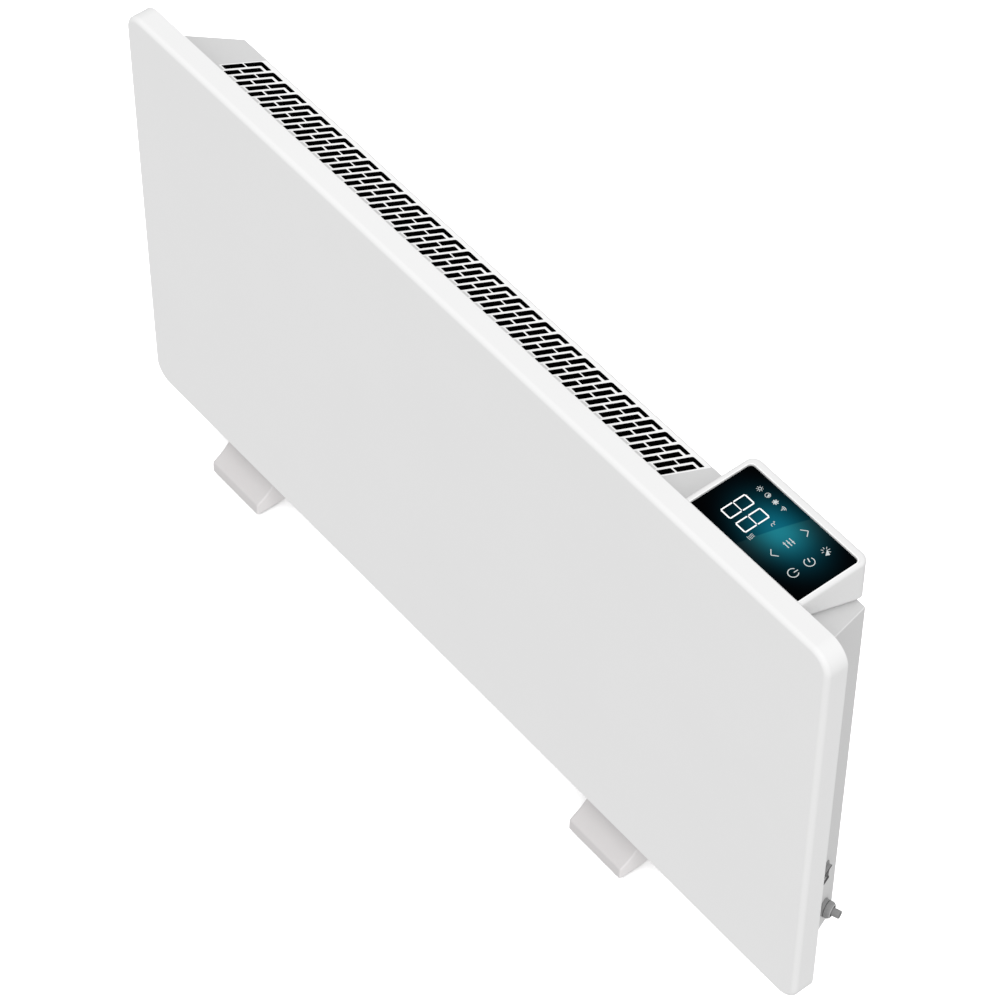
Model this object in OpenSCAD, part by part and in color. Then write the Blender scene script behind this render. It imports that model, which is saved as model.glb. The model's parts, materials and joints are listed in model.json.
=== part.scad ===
// Panel convector heater: flat steel front panel, tapered rear case with a
// slotted outlet, control box on the right shoulder, standing on two feet.
// Millimetres, +Z up, front face towards -Y, feet on z = 0.

/* [Front panel] */
// Width of the front panel
panel_w = 790; // [780:2:820]
// Height of the front panel
panel_h = 410.4; // [405:0.2:420]
// Depth of the folded rim
panel_t = 18.6; // [17:0.1:20]
// Corner radius seen from the front
panel_r = 18; // [14:1:22]
// Radius of the folded front edge
edge_r = 4.2; // [3.5:0.1:5]
// Steel thickness of the panel
panel_s = 1.2; // [1:0.1:1.5]

/* [Rear case] */
// Drop from the panel's top edge to the case's top front edge
case_drop = 19.4; // [19:0.1:24]
// Distance of the case's end walls from the panel's sides
case_in = 22.7; // [21:0.1:26]
// Depth of the case's rear face, from the panel's front
case_y = 76.8; // [74:0.1:80]
// Inward taper of the end walls, mm per mm of depth
side_k = 0.373; // [0.34:0.001:0.4]
// Fall of the top wall, mm per mm of depth
top_k = 0.422; // [0.4:0.001:0.44]
// Sheet thickness of the case
case_s = 1; // [0.8:0.1:1.2]

/* [Outlet grille] */
// Left end of the slotted field
grille_x = -324.1; // [-326:0.1:-318]
// Distance from one slot column to the next
slot_p = 7.34; // [7.2:0.01:7.4]
// Width of a slot
slot_w = 4.8; // [4:0.1:5.2]
// Lean of the slots, mm per mm of length
slot_k = 0.1; // [0:0.01:0.12]
// Number of column pairs
slot_n = 35; // [20:1:35]

/* [Control box] */
// Left side of the control box
box_x0 = 226.8; // [225:0.1:229]
// Right side of the control box
box_x1 = 345.5; // [344:0.1:347]
// Rear side of the control box, from the panel's front
box_y1 = 82.5; // [81.5:0.1:84]
// Thickness of the touch glass
glass_t = 2; // [1.5:0.1:3]

/* [Feet] */
// Height of the panel's lower edge above the floor
foot_h = 40; // [38:1:44]
// Width of a foot
foot_w = 61; // [55:1:65]
// Centre of the left foot
foot_xl = -277; // [-290:1:-260]
// Centre of the right foot
foot_xr = 180.5; // [170:0.5:190]

/* [Side fittings] */
// Depth of the rocker switch's centre on the end wall
sw_y = 55.5; // [54:0.1:57]
// Height of the rocker switch's centre above the panel's lower edge
sw_z = 77.6; // [74:0.1:80]
// Full travel of the rocker key in degrees
sw_travel = 10; // [8:1:10]
// Depth of the cable gland's centre on the end wall
gl_y = 61.3; // [60:0.1:63]
// Height of the cable gland's centre above the panel's lower edge
gl_z = 28.05; // [27:0.05:30]

/* [Hidden] */

$fn = 48;
depth_c = 53.5;                       // middle of the whole depth
pb = foot_h;                          // panel's lower edge above the floor
top_a = atan(top_k);                  // slope of the case's top wall
side_b = atan(side_k);                // taper of the end walls in plan
top_z = panel_h - case_drop;          // top front edge of the case
case_hw = panel_w / 2 - case_in;
rear_hw = case_hw - side_k * (case_y - panel_t);
slope_l = (case_y - panel_t) / cos(top_a);
white = [0.93, 0.93, 0.93];
case_white = [0.86, 0.86, 0.86];
steel = [0.72, 0.73, 0.75];
grey = [0.5, 0.5, 0.5];
el_z = 96;                            // centre of the heating element
el_y = 47;
foot_y0 = -9.5;
foot_y1 = 116.5;
foot_scr = [34, 62];                  // foot screws, depth
glass = [232.3, 341.6, 19.9, 75];     // x0, x1, y0, y1 of the glass
glass_z = panel_h - 2.8;              // top face of the glass
bezel_z = panel_h - 1.5;              // highest point of the cover

function case_top(y) = top_z - top_k * (y - panel_t);
function wall_x(y) = case_hw - side_k * (y - panel_t);

// everything is drawn with the panel's front at y = 0 and its lower edge at z = 0
module place() translate([0, -depth_c, pb]) children();

// rounded rectangle from two bars and four discs
module rr(w, h, r) {
    translate([-w / 2 + r, 0]) square([w - 2 * r, h]);
    translate([-w / 2, r]) square([w, h - 2 * r]);
    for (x = [-1, 1], y = [r, h - r])
        translate([x * (w / 2 - r), y]) circle(r);
}
// rounded rectangle given by its limits
module rbox(x0, x1, y0, y1, r)
    translate([(x0 + x1) / 2, y0]) rr(x1 - x0, y1 - y0, r);
// the same with corner radius f at the front and r at the rear
module rbox2(x0, x1, y0, y1, f, r) {
    translate([x0, y0 + f]) square([x1 - x0, y1 - r - y0 - f]);
    translate([x0 + f, y0]) square([x1 - x0 - 2 * f, f + 1]);
    translate([x0 + r, y1 - r - 1]) square([x1 - x0 - 2 * r, r + 1]);
    for (x = [x0 + f, x1 - f]) translate([x, y0 + f]) circle(f);
    for (x = [x0 + r, x1 - r]) translate([x, y1 - r]) circle(r);
}
// upright sheet lying in the XZ plane, from depth y to y + t
module upright(y, t) translate([0, y + t, 0]) rotate([90, 0, 0])
    linear_extrude(height = t) children();
// profile drawn in (depth, height), extruded along X from x0 to x1
module along_x(x0, x1) translate([x0, 0, 0]) rotate([90, 0, 90])
    linear_extrude(height = x1 - x0) children();
// local frame on the right end wall: z outward, x down, y towards the rear
module on_wall(y, z) translate([wall_x(y), y, z])
    rotate([0, 0, side_b]) rotate([0, 90, 0]) children();
// local frame on the top wall: x right, y down the slope, z outward
module on_top() translate([0, panel_t, top_z]) rotate([-top_a, 0, 0])
    children();
module below_top(up = 0) on_top() translate([-600, -200, -300 + up * cos(top_a)])
    cube([1200, 500, 300]);
// screw with a pan head, along +Z, head above z = 0
module pan_screw(d, l, hd, hh) {
    cylinder(d = hd, h = hh);
    translate([0, 0, -l]) cylinder(d = d, h = l + 0.5);
}
module hex_nut(af, h, d) difference() {
    cylinder(d = af / cos(30), h = h, $fn = 6);
    translate([0, 0, -1]) cylinder(d = d, h = h + 2);
}
// insulated wire swept along points, smoothed with a curve through them
function cr(p, i, t) = let (n = len(p), a = p[max(i - 1, 0)], b = p[i],
    c = p[i + 1], d = p[min(i + 2, n - 1)])
    0.5 * ((2 * b) + (c - a) * t + (2 * a - 5 * b + 4 * c - d) * t * t
    + (3 * b - a - 3 * c + d) * t * t * t);
function path(p, k) = [for (i = [0 : len(p) - 2], j = [0 : k - 1])
    cr(p, i, j / k), p[len(p) - 1]];
function unit(v) = v / norm(v);
function frame_x(t) = unit(abs(t[2]) < 0.9 ? cross(t, [0, 0, 1])
    : cross(t, [0, 1, 0]));
module wire(p, r, sides = 8, k = 3) {
    q = path(p, k);
    n = len(q);
    ring = [for (i = [0 : n - 1])
        let (t = unit(q[min(i + 1, n - 1)] - q[max(i - 1, 0)]),
            u = frame_x(t), v = cross(t, u))
        for (s = [0 : sides - 1])
            q[i] + r * (cos(360 * s / sides) * u + sin(360 * s / sides) * v)];
    faces = concat([[for (s = [0 : sides - 1]) s]],
        [for (i = [0 : n - 2], s = [0 : sides - 1], h = [0, 1])
            let (a = i * sides + s, b = i * sides + (s + 1) % sides)
            h == 0 ? [a, a + sides, b + sides] : [a, b + sides, b]],
        [[for (s = [sides - 1 : -1 : 0]) (n - 1) * sides + s]]);
    polyhedron(points = ring, faces = faces, convexity = 6);
}

// ---------------------------------------------------------------- front panel
module front_panel() color(white) place() difference() {
    union() {
        difference() {
            hull() {
                for (i = [0 : 5]) let (a = i * 15)
                    upright(edge_r * (1 - cos(a)), 0.02)
                        translate([0, edge_r * (1 - sin(a))])
                        rr(panel_w - 2 * edge_r * (1 - sin(a)),
                            panel_h - 2 * edge_r * (1 - sin(a)),
                            panel_r - edge_r * (1 - sin(a)), $fn = 32);
                upright(edge_r, panel_t - edge_r) rr(panel_w, panel_h, panel_r,
                    $fn = 32);
            }
            upright(panel_s, 3) translate([0, 3.2])
                rr(panel_w - 6.4, panel_h - 6.4, panel_r - 3.2);
            upright(4, panel_t) translate([0, panel_s])
                rr(panel_w - 2 * panel_s, panel_h - 2 * panel_s,
                    panel_r - panel_s);
        }
        // inner lip that the case's flange lies on
        upright(15.6, 1.2) difference() {
            translate([0, panel_s - 0.3]) rr(panel_w - 2 * panel_s + 0.6,
                panel_h - 2 * panel_s + 0.6, panel_r - panel_s + 0.3);
            translate([0, 11]) rr(panel_w - 22, panel_h - 22, panel_r - 8);
        }
    }
    for (p = flange_points()) translate([p[0], 12, p[1]])
        rotate([-90, 0, 0]) cylinder(d = 3.4, h = 6);
}
function flange_points() = concat(
    [for (x = [-330, -110, 110]) [x, panel_h - 7.5]],
    [for (s = [-1, 1], z = [30, 200, 370]) [s * (panel_w / 2 - 7.8), z]]);

// reflector between the heating element and the panel
module heat_shield() color(steel) place() upright(12.6, 0.8) difference() {
    translate([-40, 22]) rr(600, panel_h - 70, 6);
    for (x = [-320, -40, 240], z = [45, panel_h - 75]) translate([x, z])
        circle(d = 4.4);
    for (x = [-300 : 60 : 180], z = [120, 270])
        translate([x, z]) square([34, 5]);
}
module shield_spacers() color([0.9, 0.88, 0.82]) place()
    for (x = [-320, -40, 240], z = [45, panel_h - 75])
        translate([x, panel_s, z]) rotate([-90, 0, 0]) {
            cylinder(d = 10, h = 12.6 - panel_s);
            cylinder(d = 4.2, h = 15.2 - panel_s);
            translate([0, 0, 13.4 - panel_s]) cylinder(d = 8, h = 1.6);
        }
// ------------------------------------------------------------------ rear case
module case_block(o, y1) intersection() {
    // plan: taper of the end walls
    translate([0, 0, 0.4 + o]) linear_extrude(height = 500)
        polygon([for (p = [[-1, panel_t - 1.6], [1, panel_t - 1.6], [1, y1],
            [-1, y1]]) [p[0] * (wall_x(p[1]) - o * 1.0673), p[1]]]);
    // side view: fall of the top wall
    along_x(-500, 500) polygon([[panel_t - 1.6, -10], [y1, -10],
        [y1, case_top(y1) - o * 1.085],
        [panel_t - 1.6, case_top(panel_t - 1.6) - o * 1.085]]);
}
module lean_box(x, s0, s1, w) polygon([[x + slot_k * s0, s0],
    [x + w + slot_k * s0, s0], [x + w + slot_k * s1, s1], [x + slot_k * s1, s1]]);
module outlet_slots() translate([-slot_k * 19.3, 0])
    for (i = [0 : slot_n - 1]) {
        x = grille_x + 2 * slot_p * i;
        lean_box(x, 19.3, 38.2, slot_w);
        lean_box(x, 39.8, 56.5, slot_w);
        lean_box(x, 52.2, 56.5, 11.7);
        lean_box(x + slot_p, 16, 29.2, slot_w);
        lean_box(x + slot_p, 31.2, 49.2, slot_w);
    }
module inlet_slots() for (x = [-318 : 12 : 210])
    if (abs(x + 3 - foot_xl) > 36 && abs(x + 3 - foot_xr) > 36)
        translate([x, 30]) square([6, 34]);
module top_slab() intersection() {
    on_top() translate([-600, -4, -case_s]) cube([1200, 90, case_s + 6]);
    translate([-600, 17.9, 300]) cube([1200, 100, 200]);
}
module rear_case() color(case_white) place() difference() {
    union() {
        difference() {
            case_block(0, case_y);
            case_block(case_s, case_y - case_s);
            // clear of the panel's folded lower rim
            translate([-500, 10, -10]) cube([1000, panel_t + 0.3 - 10, 12.2]);
        }
        // flange seated inside the panel's rim
        upright(16.8, 1.1) difference() {
            translate([0, 2.1]) rr(panel_w - 4.2, panel_h - 4.2, panel_r - 2.1);
            translate([-case_hw + 2, 9]) square([2 * case_hw - 4,
                top_z - case_s - 10]);
        }
        // joggle from the flange to the bottom wall
        along_x(-case_hw + 1.2, case_hw - 1.2) polygon([[17.8, 2.2],
            [18.9, 2.2], [18.9, 0.4], [20, 0.4], [20, 3.2], [17.8, 3.2]]);
    }
    top_slab();
    translate([0, 0, -4]) linear_extrude(height = 8) inlet_slots();
    for (x = [foot_xl, foot_xr], y = foot_scr) translate([x, y, -4])
        cylinder(d = 5.2, h = 8);
    for (p = flange_points()) translate([p[0], 12, p[1]])
        rotate([-90, 0, 0]) cylinder(d = 4.5, h = 8);
    // holes for the wall bracket
    for (x = [-200, 200], z = [40, 300]) translate([x, case_y - 5, z])
        rotate([-90, 0, 0]) cylinder(d = 5.2, h = 8);
    // switch cut-out and gland hole
    on_wall(sw_y, sw_z) translate([-9.9, -6.6, -6]) cube([19.8, 13.2, 12]);
    on_wall(gl_y, gl_z) translate([0, 0, -6]) cylinder(d = 12.6, h = 12);
}
// top wall with the warm-air slots
module outlet_grille() color(case_white) place() difference() {
    intersection() {
        case_block(0, case_y);
        top_slab();
    }
    on_top() translate([0, 0, -4]) linear_extrude(height = 8) outlet_slots();
    // way for the ribbon and fixing holes of the control box
    on_top() translate([290, 26, -4]) cylinder(d = 16, h = 8);
    for (x = [244, 330]) on_top() translate([x, 44, -4]) cylinder(d = 3.4, h = 8);
}
module case_screws() color(steel) place() for (p = flange_points())
    translate([p[0], 17.95, p[1]]) rotate([-90, 0, 0]) pan_screw(3.3, 4, 6.4, 0.5);

// -------------------------------------------------------------- heating group
module fin_cross() {
    circle(d = 15);
    for (a = [45 : 90 : 315]) rotate(a) {
        translate([0, -0.9]) square([24, 1.8]);
        for (r = [12 : 4 : 22]) translate([r, -2.4]) square([1.1, 4.8]);
    }
    for (a = [0, 180]) rotate(a) translate([0, -0.9]) square([16, 1.8]);
}
module element_fins() color([0.78, 0.79, 0.8]) place()
    translate([-300, el_y, el_z]) rotate([90, 0, 90]) difference() {
        linear_extrude(height = 500) fin_cross();
        translate([0, 0, -1]) cylinder(d = 8.8, h = 502);
    }
module element_rod() color([0.55, 0.53, 0.5]) place() {
    translate([-330, el_y, el_z]) rotate([0, 90, 0]) cylinder(d = 8.4, h = 560);
}
module bracket(x) translate([x, 0, 0]) difference() {
    union() {
        translate([0, el_y - 20, el_z - 24]) cube([1.5, case_y - case_s - el_y + 20 - 0.05, 48]);
        translate([0, case_y - case_s - 1.55, el_z - 24]) cube([16, 1.5, 48]);
    }
    translate([-5, el_y, el_z]) rotate([0, 90, 0]) cylinder(d = 14.2, h = 12);
    for (z = [-16, 16]) translate([10, 60, el_z + z])
        rotate([-90, 0, 0]) cylinder(d = 4.2, h = 20);
}
module element_bracket_left() color(steel) place() bracket(-320);
module element_bracket_right() color(steel) place() bracket(214);
module ceramic_bushes() color([0.93, 0.91, 0.86]) place()
    for (x = [-320, 214]) translate([x - 4, el_y, el_z]) rotate([0, 90, 0])
        difference() {
            union() {
                cylinder(d = 18, h = 3.9);
                cylinder(d = 14, h = 10);
            }
            translate([0, 0, -1]) cylinder(d = 8.6, h = 14);
        }
module element_terminals() color([0.8, 0.72, 0.4]) place()
    for (s = [0, 1]) translate([s ? 230 : -330, el_y, el_z])
        rotate([0, s ? 90 : -90, 0]) {
            cylinder(d = 4, h = 8);
            translate([-3.2, -0.5, 7]) cube([6.4, 1, 6]);
        }
module bracket_screws() color(steel) place()
    for (x = [-310, 224], z = [-16, 16])
        translate([x, case_y - case_s - 1.6, el_z + z]) rotate([90, 0, 0])
            pan_screw(3.9, 1.4, 7, 2.2);
module thermal_cutout() color([0.2, 0.2, 0.2]) place()
    translate([-60, 65.05, 190]) rotate([90, 0, 0]) {
        cylinder(d = 16, h = 8);
        translate([0, 0, 8]) cylinder(d = 13, h = 1.2);
        for (s = [-1, 1]) translate([s * 4 - 0.4, -2, -7]) cube([0.8, 4, 8]);
    }
module cutout_clip() color(steel) place() difference() {
    union() {
        translate([-72, 57, 179]) cube([1.2, 18.7, 22]);
        translate([-49.2, 57, 179]) cube([1.2, 18.7, 22]);
        translate([-72, 55.8, 179]) cube([24, 1.2, 22]);
        translate([-82, 74.5, 179]) cube([11.2, 1.2, 22]);
        translate([-49.2, 74.5, 179]) cube([11.2, 1.2, 22]);
    }
    translate([-60, 70, 190]) rotate([90, 0, 0]) cylinder(d = 13.4, h = 20);
}
module room_sensor() color([0.15, 0.15, 0.15]) place() {
    translate([330, 52, 14]) cylinder(d = 4.6, h = 22);
    translate([330, 52, 14]) sphere(d = 4.6);
}
module sensor_clip() color([0.85, 0.85, 0.85]) place()
    translate([330, 52, 18]) difference() {
        union() {
            cylinder(d = 8.4, h = 12);
            translate([-12, 3.1, -10]) cube([24, 1.6, 24]);
            translate([-12, 3.1, -16.5]) cube([24, 12, 1.6]);
            translate([-12, 3.1, -16.5]) cube([24, 1.6, 8]);
        }
        translate([0, 0, -1]) cylinder(d = 4.9, h = 14);
    }
module partition_plate() color(steel) place() difference() {
    union() {
        translate([246, 24, 12]) cube([1, case_y - case_s - 24, panel_h - 70]);
        translate([246, case_y - case_s - 1, 12]) cube([10, 1, panel_h - 70]);
    }
    // way for the element's wires
    translate([240, 40, 180]) cube([12, 14, 56]);
}

// ------------------------------------------------------------ power and wiring
module power_board() color([0.1, 0.42, 0.2]) place()
    upright(63.2, 1.6) difference() {
        translate([294, 200]) rr(72, 130, 2);
        for (x = [264, 324], z = [206, 324]) translate([x, z]) circle(d = 3.4);
    }
module board_standoffs() color([0.9, 0.9, 0.86]) place()
    for (x = [264, 324], z = [206, 324]) translate([x, 64.85, z])
        rotate([-90, 0, 0]) {
            cylinder(d = 6.4, h = 10.9);
            translate([0, 0, -4]) cylinder(d = 3.1, h = 5);
            translate([0, 0, -3.6]) cylinder(d = 5, h = 1.9);
        }
module heater_relay() color([0.1, 0.1, 0.12]) place()
    translate([266, 47.6, 216]) cube([20, 15.6, 19]);
module transformer() color([0.85, 0.7, 0.2]) place()
    translate([294, 44, 246]) {
        cube([26, 19.1, 22]);
        translate([-2, 3, 3]) cube([30, 12, 16]);
    }
module capacitors() color([0.2, 0.25, 0.45]) place()
    for (p = [[270, 290], [285, 296], [304, 292]]) translate([p[0], 63.1, p[1]])
        rotate([90, 0, 0]) cylinder(d = 10, h = 16);
module terminal_block() color([0.92, 0.92, 0.9]) place() difference() {
    translate([292, 58, 92]) cube([36, case_y - case_s - 58, 20]);
    for (x = [298, 310, 322]) {
        translate([x, 66, 90]) cylinder(d = 4.4, h = 24);
        translate([x, 56, 102]) rotate([-90, 0, 0]) cylinder(d = 5, h = 10);
    }
}
module terminal_screws() color([0.8, 0.72, 0.4]) place()
    for (x = [298, 310, 322]) translate([x, 59, 102]) rotate([-90, 0, 0]) {
        difference() {
            cylinder(d = 4.8, h = 3);
            translate([-3, -0.5, -1]) cube([6, 1, 2]);
        }
        cylinder(d = 3, h = 6);
    }
module earth_stud() color([0.8, 0.72, 0.4]) place()
    translate([276, case_y - 1.05, 60]) rotate([90, 0, 0]) {
        cylinder(d = 4, h = 12);
        cylinder(d = 9, h = 0.8);
        translate([0, 0, 2]) cylinder(d = 7 / cos(30), h = 3.2, $fn = 6);
    }
module earth_wire() color([0.3, 0.65, 0.2]) place() wire([[322, 66, 96],
    [322, 66, 84], [314, 63, 66], [298, 60, 54], [286, 62, 53], [280.4, 66, 56],
    [279.8, 68, 60]], 1.1);
module neutral_wire() color([0.15, 0.3, 0.7]) place() wire([[310, 66, 108],
    [310, 65, 122], [309, 58, 146], [307, 54, 176], [306, 55, 200],
    [306, 58, 208], [306, 62.6, 208.4]], 1.1);
module switch_wires() {
    color([0.45, 0.28, 0.15]) place() wire([[298, 66, 108], [299, 65, 120],
        [306, 58, 128], [316, 50, 116], [325, 46.5, 98], [332, 45.5, 87],
        [336.4, 47.1, 82.6], [338, 47.8, 82.1]], 1.1);
    color([0.1, 0.1, 0.1]) place() wire([[338, 47.8, 73.1],
        [333.5, 45.9, 72.6], [325, 43.6, 76], [319.5, 43, 88], [318, 43, 110], [320, 43, 160], [319, 48, 192],
        [318, 56, 210], [318, 62.6, 211]], 1.1);
}
module element_wires() {
    color([0.85, 0.85, 0.82]) place() wire([[240.2, el_y, el_z + 4.8],
        [240.4, 47.5, 130], [239, 48, 168], [241, 48, 186], [250, 46, 196],
        [261, 42, 206], [270, 40, 216], [275, 46, 223]], 1.2);
    color([0.85, 0.85, 0.82]) place() wire([[-340.4, el_y, el_z + 4.8],
        [-339, 50, 126], [-322, 60, 160], [-280, 68, 176], [-180, 70, 182],
        [-104, 69, 174], [-76, 68, 168], [-65, 68, 172], [-64, 68.5, 186]], 1.2);
    color([0.85, 0.85, 0.82]) place() wire([[-56, 68.5, 186], [-55, 68, 172],
        [-42, 66, 164], [20, 62, 166], [130, 58, 182], [210, 50, 210],
        [240, 46, 221], [252, 44, 226], [262, 46, 242], [266, 54, 258],
        [266, 62.4, 259]], 1.2);
}
module sensor_wire() color([0.2, 0.2, 0.2]) place() wire([[330, 52, 36.3],
    [330, 50, 46], [325, 43, 56], [326, 38, 110], [327, 38, 180],
    [325, 46, 216], [323, 58, 230], [323, 62.8, 230.6]], 0.8);
module display_ribbon() color([0.3, 0.3, 0.32]) place()
    wire([[300, 60.6, 316], [299, 54, 322], [295, 46, 340], [291, 42.6, 360],
        [290, 42.2, 378], [289, 42.4, 396.3]], 2);

// ---------------------------------------------------------------- control box
module box_prism(i, r, z1) linear_extrude(height = z1)
    rbox(box_x0 + i, box_x1 - i, panel_t + 0.4 + i * 0.44, box_y1 - i, r);
// lower part that seats on the sloping top wall and hooks over its rear edge
module control_base() color([0.84, 0.84, 0.84]) place() difference() {
    union() {
        difference() {
            union() {
                difference() {
                    translate([0, 0, 340]) box_prism(2.5, 5.5, panel_h - 357);
                    translate([0, 0, 339]) box_prism(4.5, 3.5, 90);
                }
                // sloping floor
                intersection() {
                    translate([0, 0, 340]) box_prism(2.6, 5.4, 60);
                    below_top(2);
                }
                // posts under the display board
                for (p = board_points()) translate([p[0], p[1], 350])
                    cylinder(d = 6, h = panel_h - 13.4 - 350);
            }
            below_top(0.05);
        }
        // lip down the case's rear face
        translate([box_x0 + 12, case_y + 0.2, 352]) cube([box_x1 - box_x0 - 24,
            box_y1 - 2.5 - case_y - 0.2, 18]);
    }
    for (p = board_points()) translate([p[0], p[1], panel_h - 26])
        cylinder(d = 2.1, h = 20);
    on_top() translate([290, 26, -4]) cylinder(d = 14, h = 12);
    for (x = [244, 330]) on_top() translate([x, 44, -4]) cylinder(d = 3.4, h = 12);
}
function board_points() = [for (x = [240, 333], y = [27, 73]) [x, y]];
module board_screws() color(steel) place() for (p = board_points())
    translate([p[0], p[1], panel_h - 11.75]) pan_screw(2, 8, 4.4, 1.4);
module base_screws() color(steel) place() for (x = [244, 330])
    on_top() translate([x, 44, 1.9]) pan_screw(3.2, 6, 6.4, 2);
module bezel_cover() color(white) place() difference() {
    hull() {
        for (i = [1 : 4]) let (a = i * 22.5, o = 3 * (1 - cos(a)))
            translate([0, 0, bezel_z - 3 + 3 * sin(a) - 0.02])
                linear_extrude(height = 0.02)
                rbox2(box_x0 + o, box_x1 - o, panel_t + 0.4 + o * 0.1,
                    box_y1 - o, 1, 8 - o, $fn = 32);
        translate([0, 0, 345]) linear_extrude(height = bezel_z - 348)
            rbox2(box_x0, box_x1, panel_t + 0.4, box_y1, 1, 8, $fn = 32);
    }
    // inside
    translate([0, 0, 340]) linear_extrude(height = glass_z - glass_t - 1.8 - 340)
        rbox2(box_x0 + 2.2, box_x1 - 2.2, panel_t + 1.4, box_y1 - 2.2, 0.8, 5.8);
    // glass recess and window
    translate([0, 0, glass_z - glass_t - 0.4]) linear_extrude(height = 20)
        rbox2(glass[0] - 0.25, glass[1] + 0.25, glass[2] - 0.15, glass[3] + 0.25,
            0.8, 3.75);
    translate([0, 0, 380]) linear_extrude(height = 40)
        rbox(glass[0] + 4, glass[1] - 4, glass[2] + 3, glass[3] - 4, 2);
    // lower edge runs parallel to the case's top wall, a small gap above it
    below_top(4.2);
}
module glass_gasket() color([0.1, 0.1, 0.1]) place()
    translate([0, 0, glass_z - glass_t - 0.4]) linear_extrude(height = 0.35)
    difference() {
        rbox(glass[0] + 0.5, glass[1] - 0.5, glass[2] + 0.3, glass[3] - 0.5, 3);
        rbox(glass[0] + 4.5, glass[1] - 4.5, glass[2] + 3.4, glass[3] - 4.5, 2);
    }
module touch_glass() color([0.03, 0.05, 0.06]) place()
    translate([0, 0, glass_z - glass_t]) linear_extrude(height = glass_t)
    rbox2(glass[0], glass[1], glass[2], glass[3], 0.8, 3.5);
module display_board() color([0.1, 0.42, 0.2]) place()
    translate([0, 0, panel_h - 13.4]) linear_extrude(height = 1.6) difference() {
        rbox(235, 338, 22.6, 77, 2);
        for (p = board_points()) translate(p) circle(d = 2.6);
    }
module digit_module() color([0.85, 0.85, 0.85]) place()
    translate([248, 33, panel_h - 11.8]) cube([36, 34, 4.8]);
module touch_springs() color(steel) place()
    for (p = [[292, 30], [306, 30], [320, 30], [292, 48], [320, 48]])
        translate([p[0], p[1], panel_h - 11.8]) difference() {
            cylinder(d = 7, h = 6.9);
            translate([0, 0, -1]) cylinder(d = 5, h = 9);
        }
// --------------------------------------------------------------- side fittings
module switch_housing() color([0.4, 0.4, 0.4]) place() on_wall(sw_y, sw_z)
    difference() {
        union() {
            translate([-10.3, -7.2, 0]) cube([20.6, 14.4, 1.2]);
            translate([-9.75, -6.45, -13.5]) cube([19.5, 12.9, 14]);
            for (s = [-4.5, 4.5]) translate([s - 2.4, -0.4, -20.5])
                cube([4.8, 0.8, 8]);
        }
        // well in which the key rocks
        translate([-9.3, -5.85, -9.5]) cube([18.6, 11.7, 15]);
        // pivot bore
        translate([0, 0, -2]) rotate([90, 0, 0]) translate([0, 0, -6.8])
            cylinder(r = 1.2, h = 13.6);
    }
module rocker_key() color([0.35, 0.35, 0.35]) place() on_wall(sw_y, sw_z)
    translate([0, 0, -2]) rotate([0, sw_travel / 2, 0]) rotate([90, 0, 0])
    translate([0, 0, -5.6]) {
        linear_extrude(height = 11.2) polygon([[-8.9, 5.1], [-8.4, 5.5],
            [-7.4, 5.35], [-6.6, 4.75], [-3.5, 4.45], [0, 4.35], [3.5, 4.45],
            [6.6, 4.75], [7.4, 5.35], [8.4, 5.5], [8.9, 5.1], [8.9, 0.5],
            [3.5, -5.2], [-3.5, -5.2], [-8.9, 0.5]]);
        translate([0, 0, -0.75]) cylinder(r = 1.1, h = 12.7);
    }
module gland_body() color(grey) place() on_wall(gl_y, gl_z) difference() {
    union() {
        translate([0, 0, -9]) cylinder(d = 12, h = 9.5);
        translate([0, 0, 0]) cylinder(r = 7.5, h = 0.9);
        translate([0, 0, 0.9]) cylinder(r = 7.85, h = 2.2, $fn = 6);
        translate([0, 0, 3]) cylinder(d = 10.6, h = 3.4);
    }
    translate([0, 0, -10]) cylinder(d = 7.2, h = 13);
    translate([0, 0, 3]) cylinder(d = 9, h = 6);
}
module gland_nut() color(grey) place() on_wall(gl_y, gl_z) difference() {
    union() {
        rotate_extrude() polygon([[0, 3.3], [6.4, 3.3], [6.6, 3.8],
            [6.6, 6.4], [6.3, 7.1], [5.9, 7.9], [5.2, 8.3], [0, 8.3]]);
        for (a = [0 : 30 : 330]) rotate(a) translate([6.3, -0.7, 3.3])
            cube([0.65, 1.4, 3.2]);
    }
    translate([0, 0, 2]) cylinder(d = 10.9, h = 4.7);
    translate([0, 0, 2]) cylinder(d = 8.4, h = 8);
}
module gland_seal() color([0.15, 0.15, 0.15]) place() on_wall(gl_y, gl_z)
    difference() {
        translate([0, 0, 3.05]) cylinder(d = 8.8, h = 3.5);
        translate([0, 0, 2]) cylinder(d = 6.8, h = 8);
    }
module gland_locknut() color(grey) place() on_wall(gl_y, gl_z)
    translate([0, 0, -case_s - 3.6]) hex_nut(15, 3.5, 12.1);
// short sleeve that the supply cord would pass through, held by the seal
module gland_sleeve() color(grey) place() on_wall(gl_y, gl_z) difference() {
    translate([0, 0, 3.1]) cylinder(r = 3.28, h = 11.4);
    translate([0, 0, 2]) cylinder(r = 2.5, h = 15);
}

// ----------------------------------------------------------- tip-over switch
module tilt_housing() color([0.1, 0.1, 0.12]) place() difference() {
    translate([262, 50.5, 128]) cube([18, case_y - case_s - 50.5, 34]);
    translate([264, 53, 130.5]) cube([14, 20, 34]);
    translate([261, 63, 157]) rotate([0, 90, 0]) cylinder(r = 1.5, h = 20);
}
module tilt_bob() color([0.75, 0.65, 0.35]) place()
    translate([271, 63, 157]) rotate([0, 90, 0]) {
        translate([0, 0, -8.6]) cylinder(r = 1.45, h = 17.2);
        translate([0, 0, -3]) cylinder(d = 6, h = 6);
        translate([0, -1.2, -1.5]) cube([16, 2.4, 3]);
        translate([17, 0, -5]) cylinder(d = 7, h = 10);
    }

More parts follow.
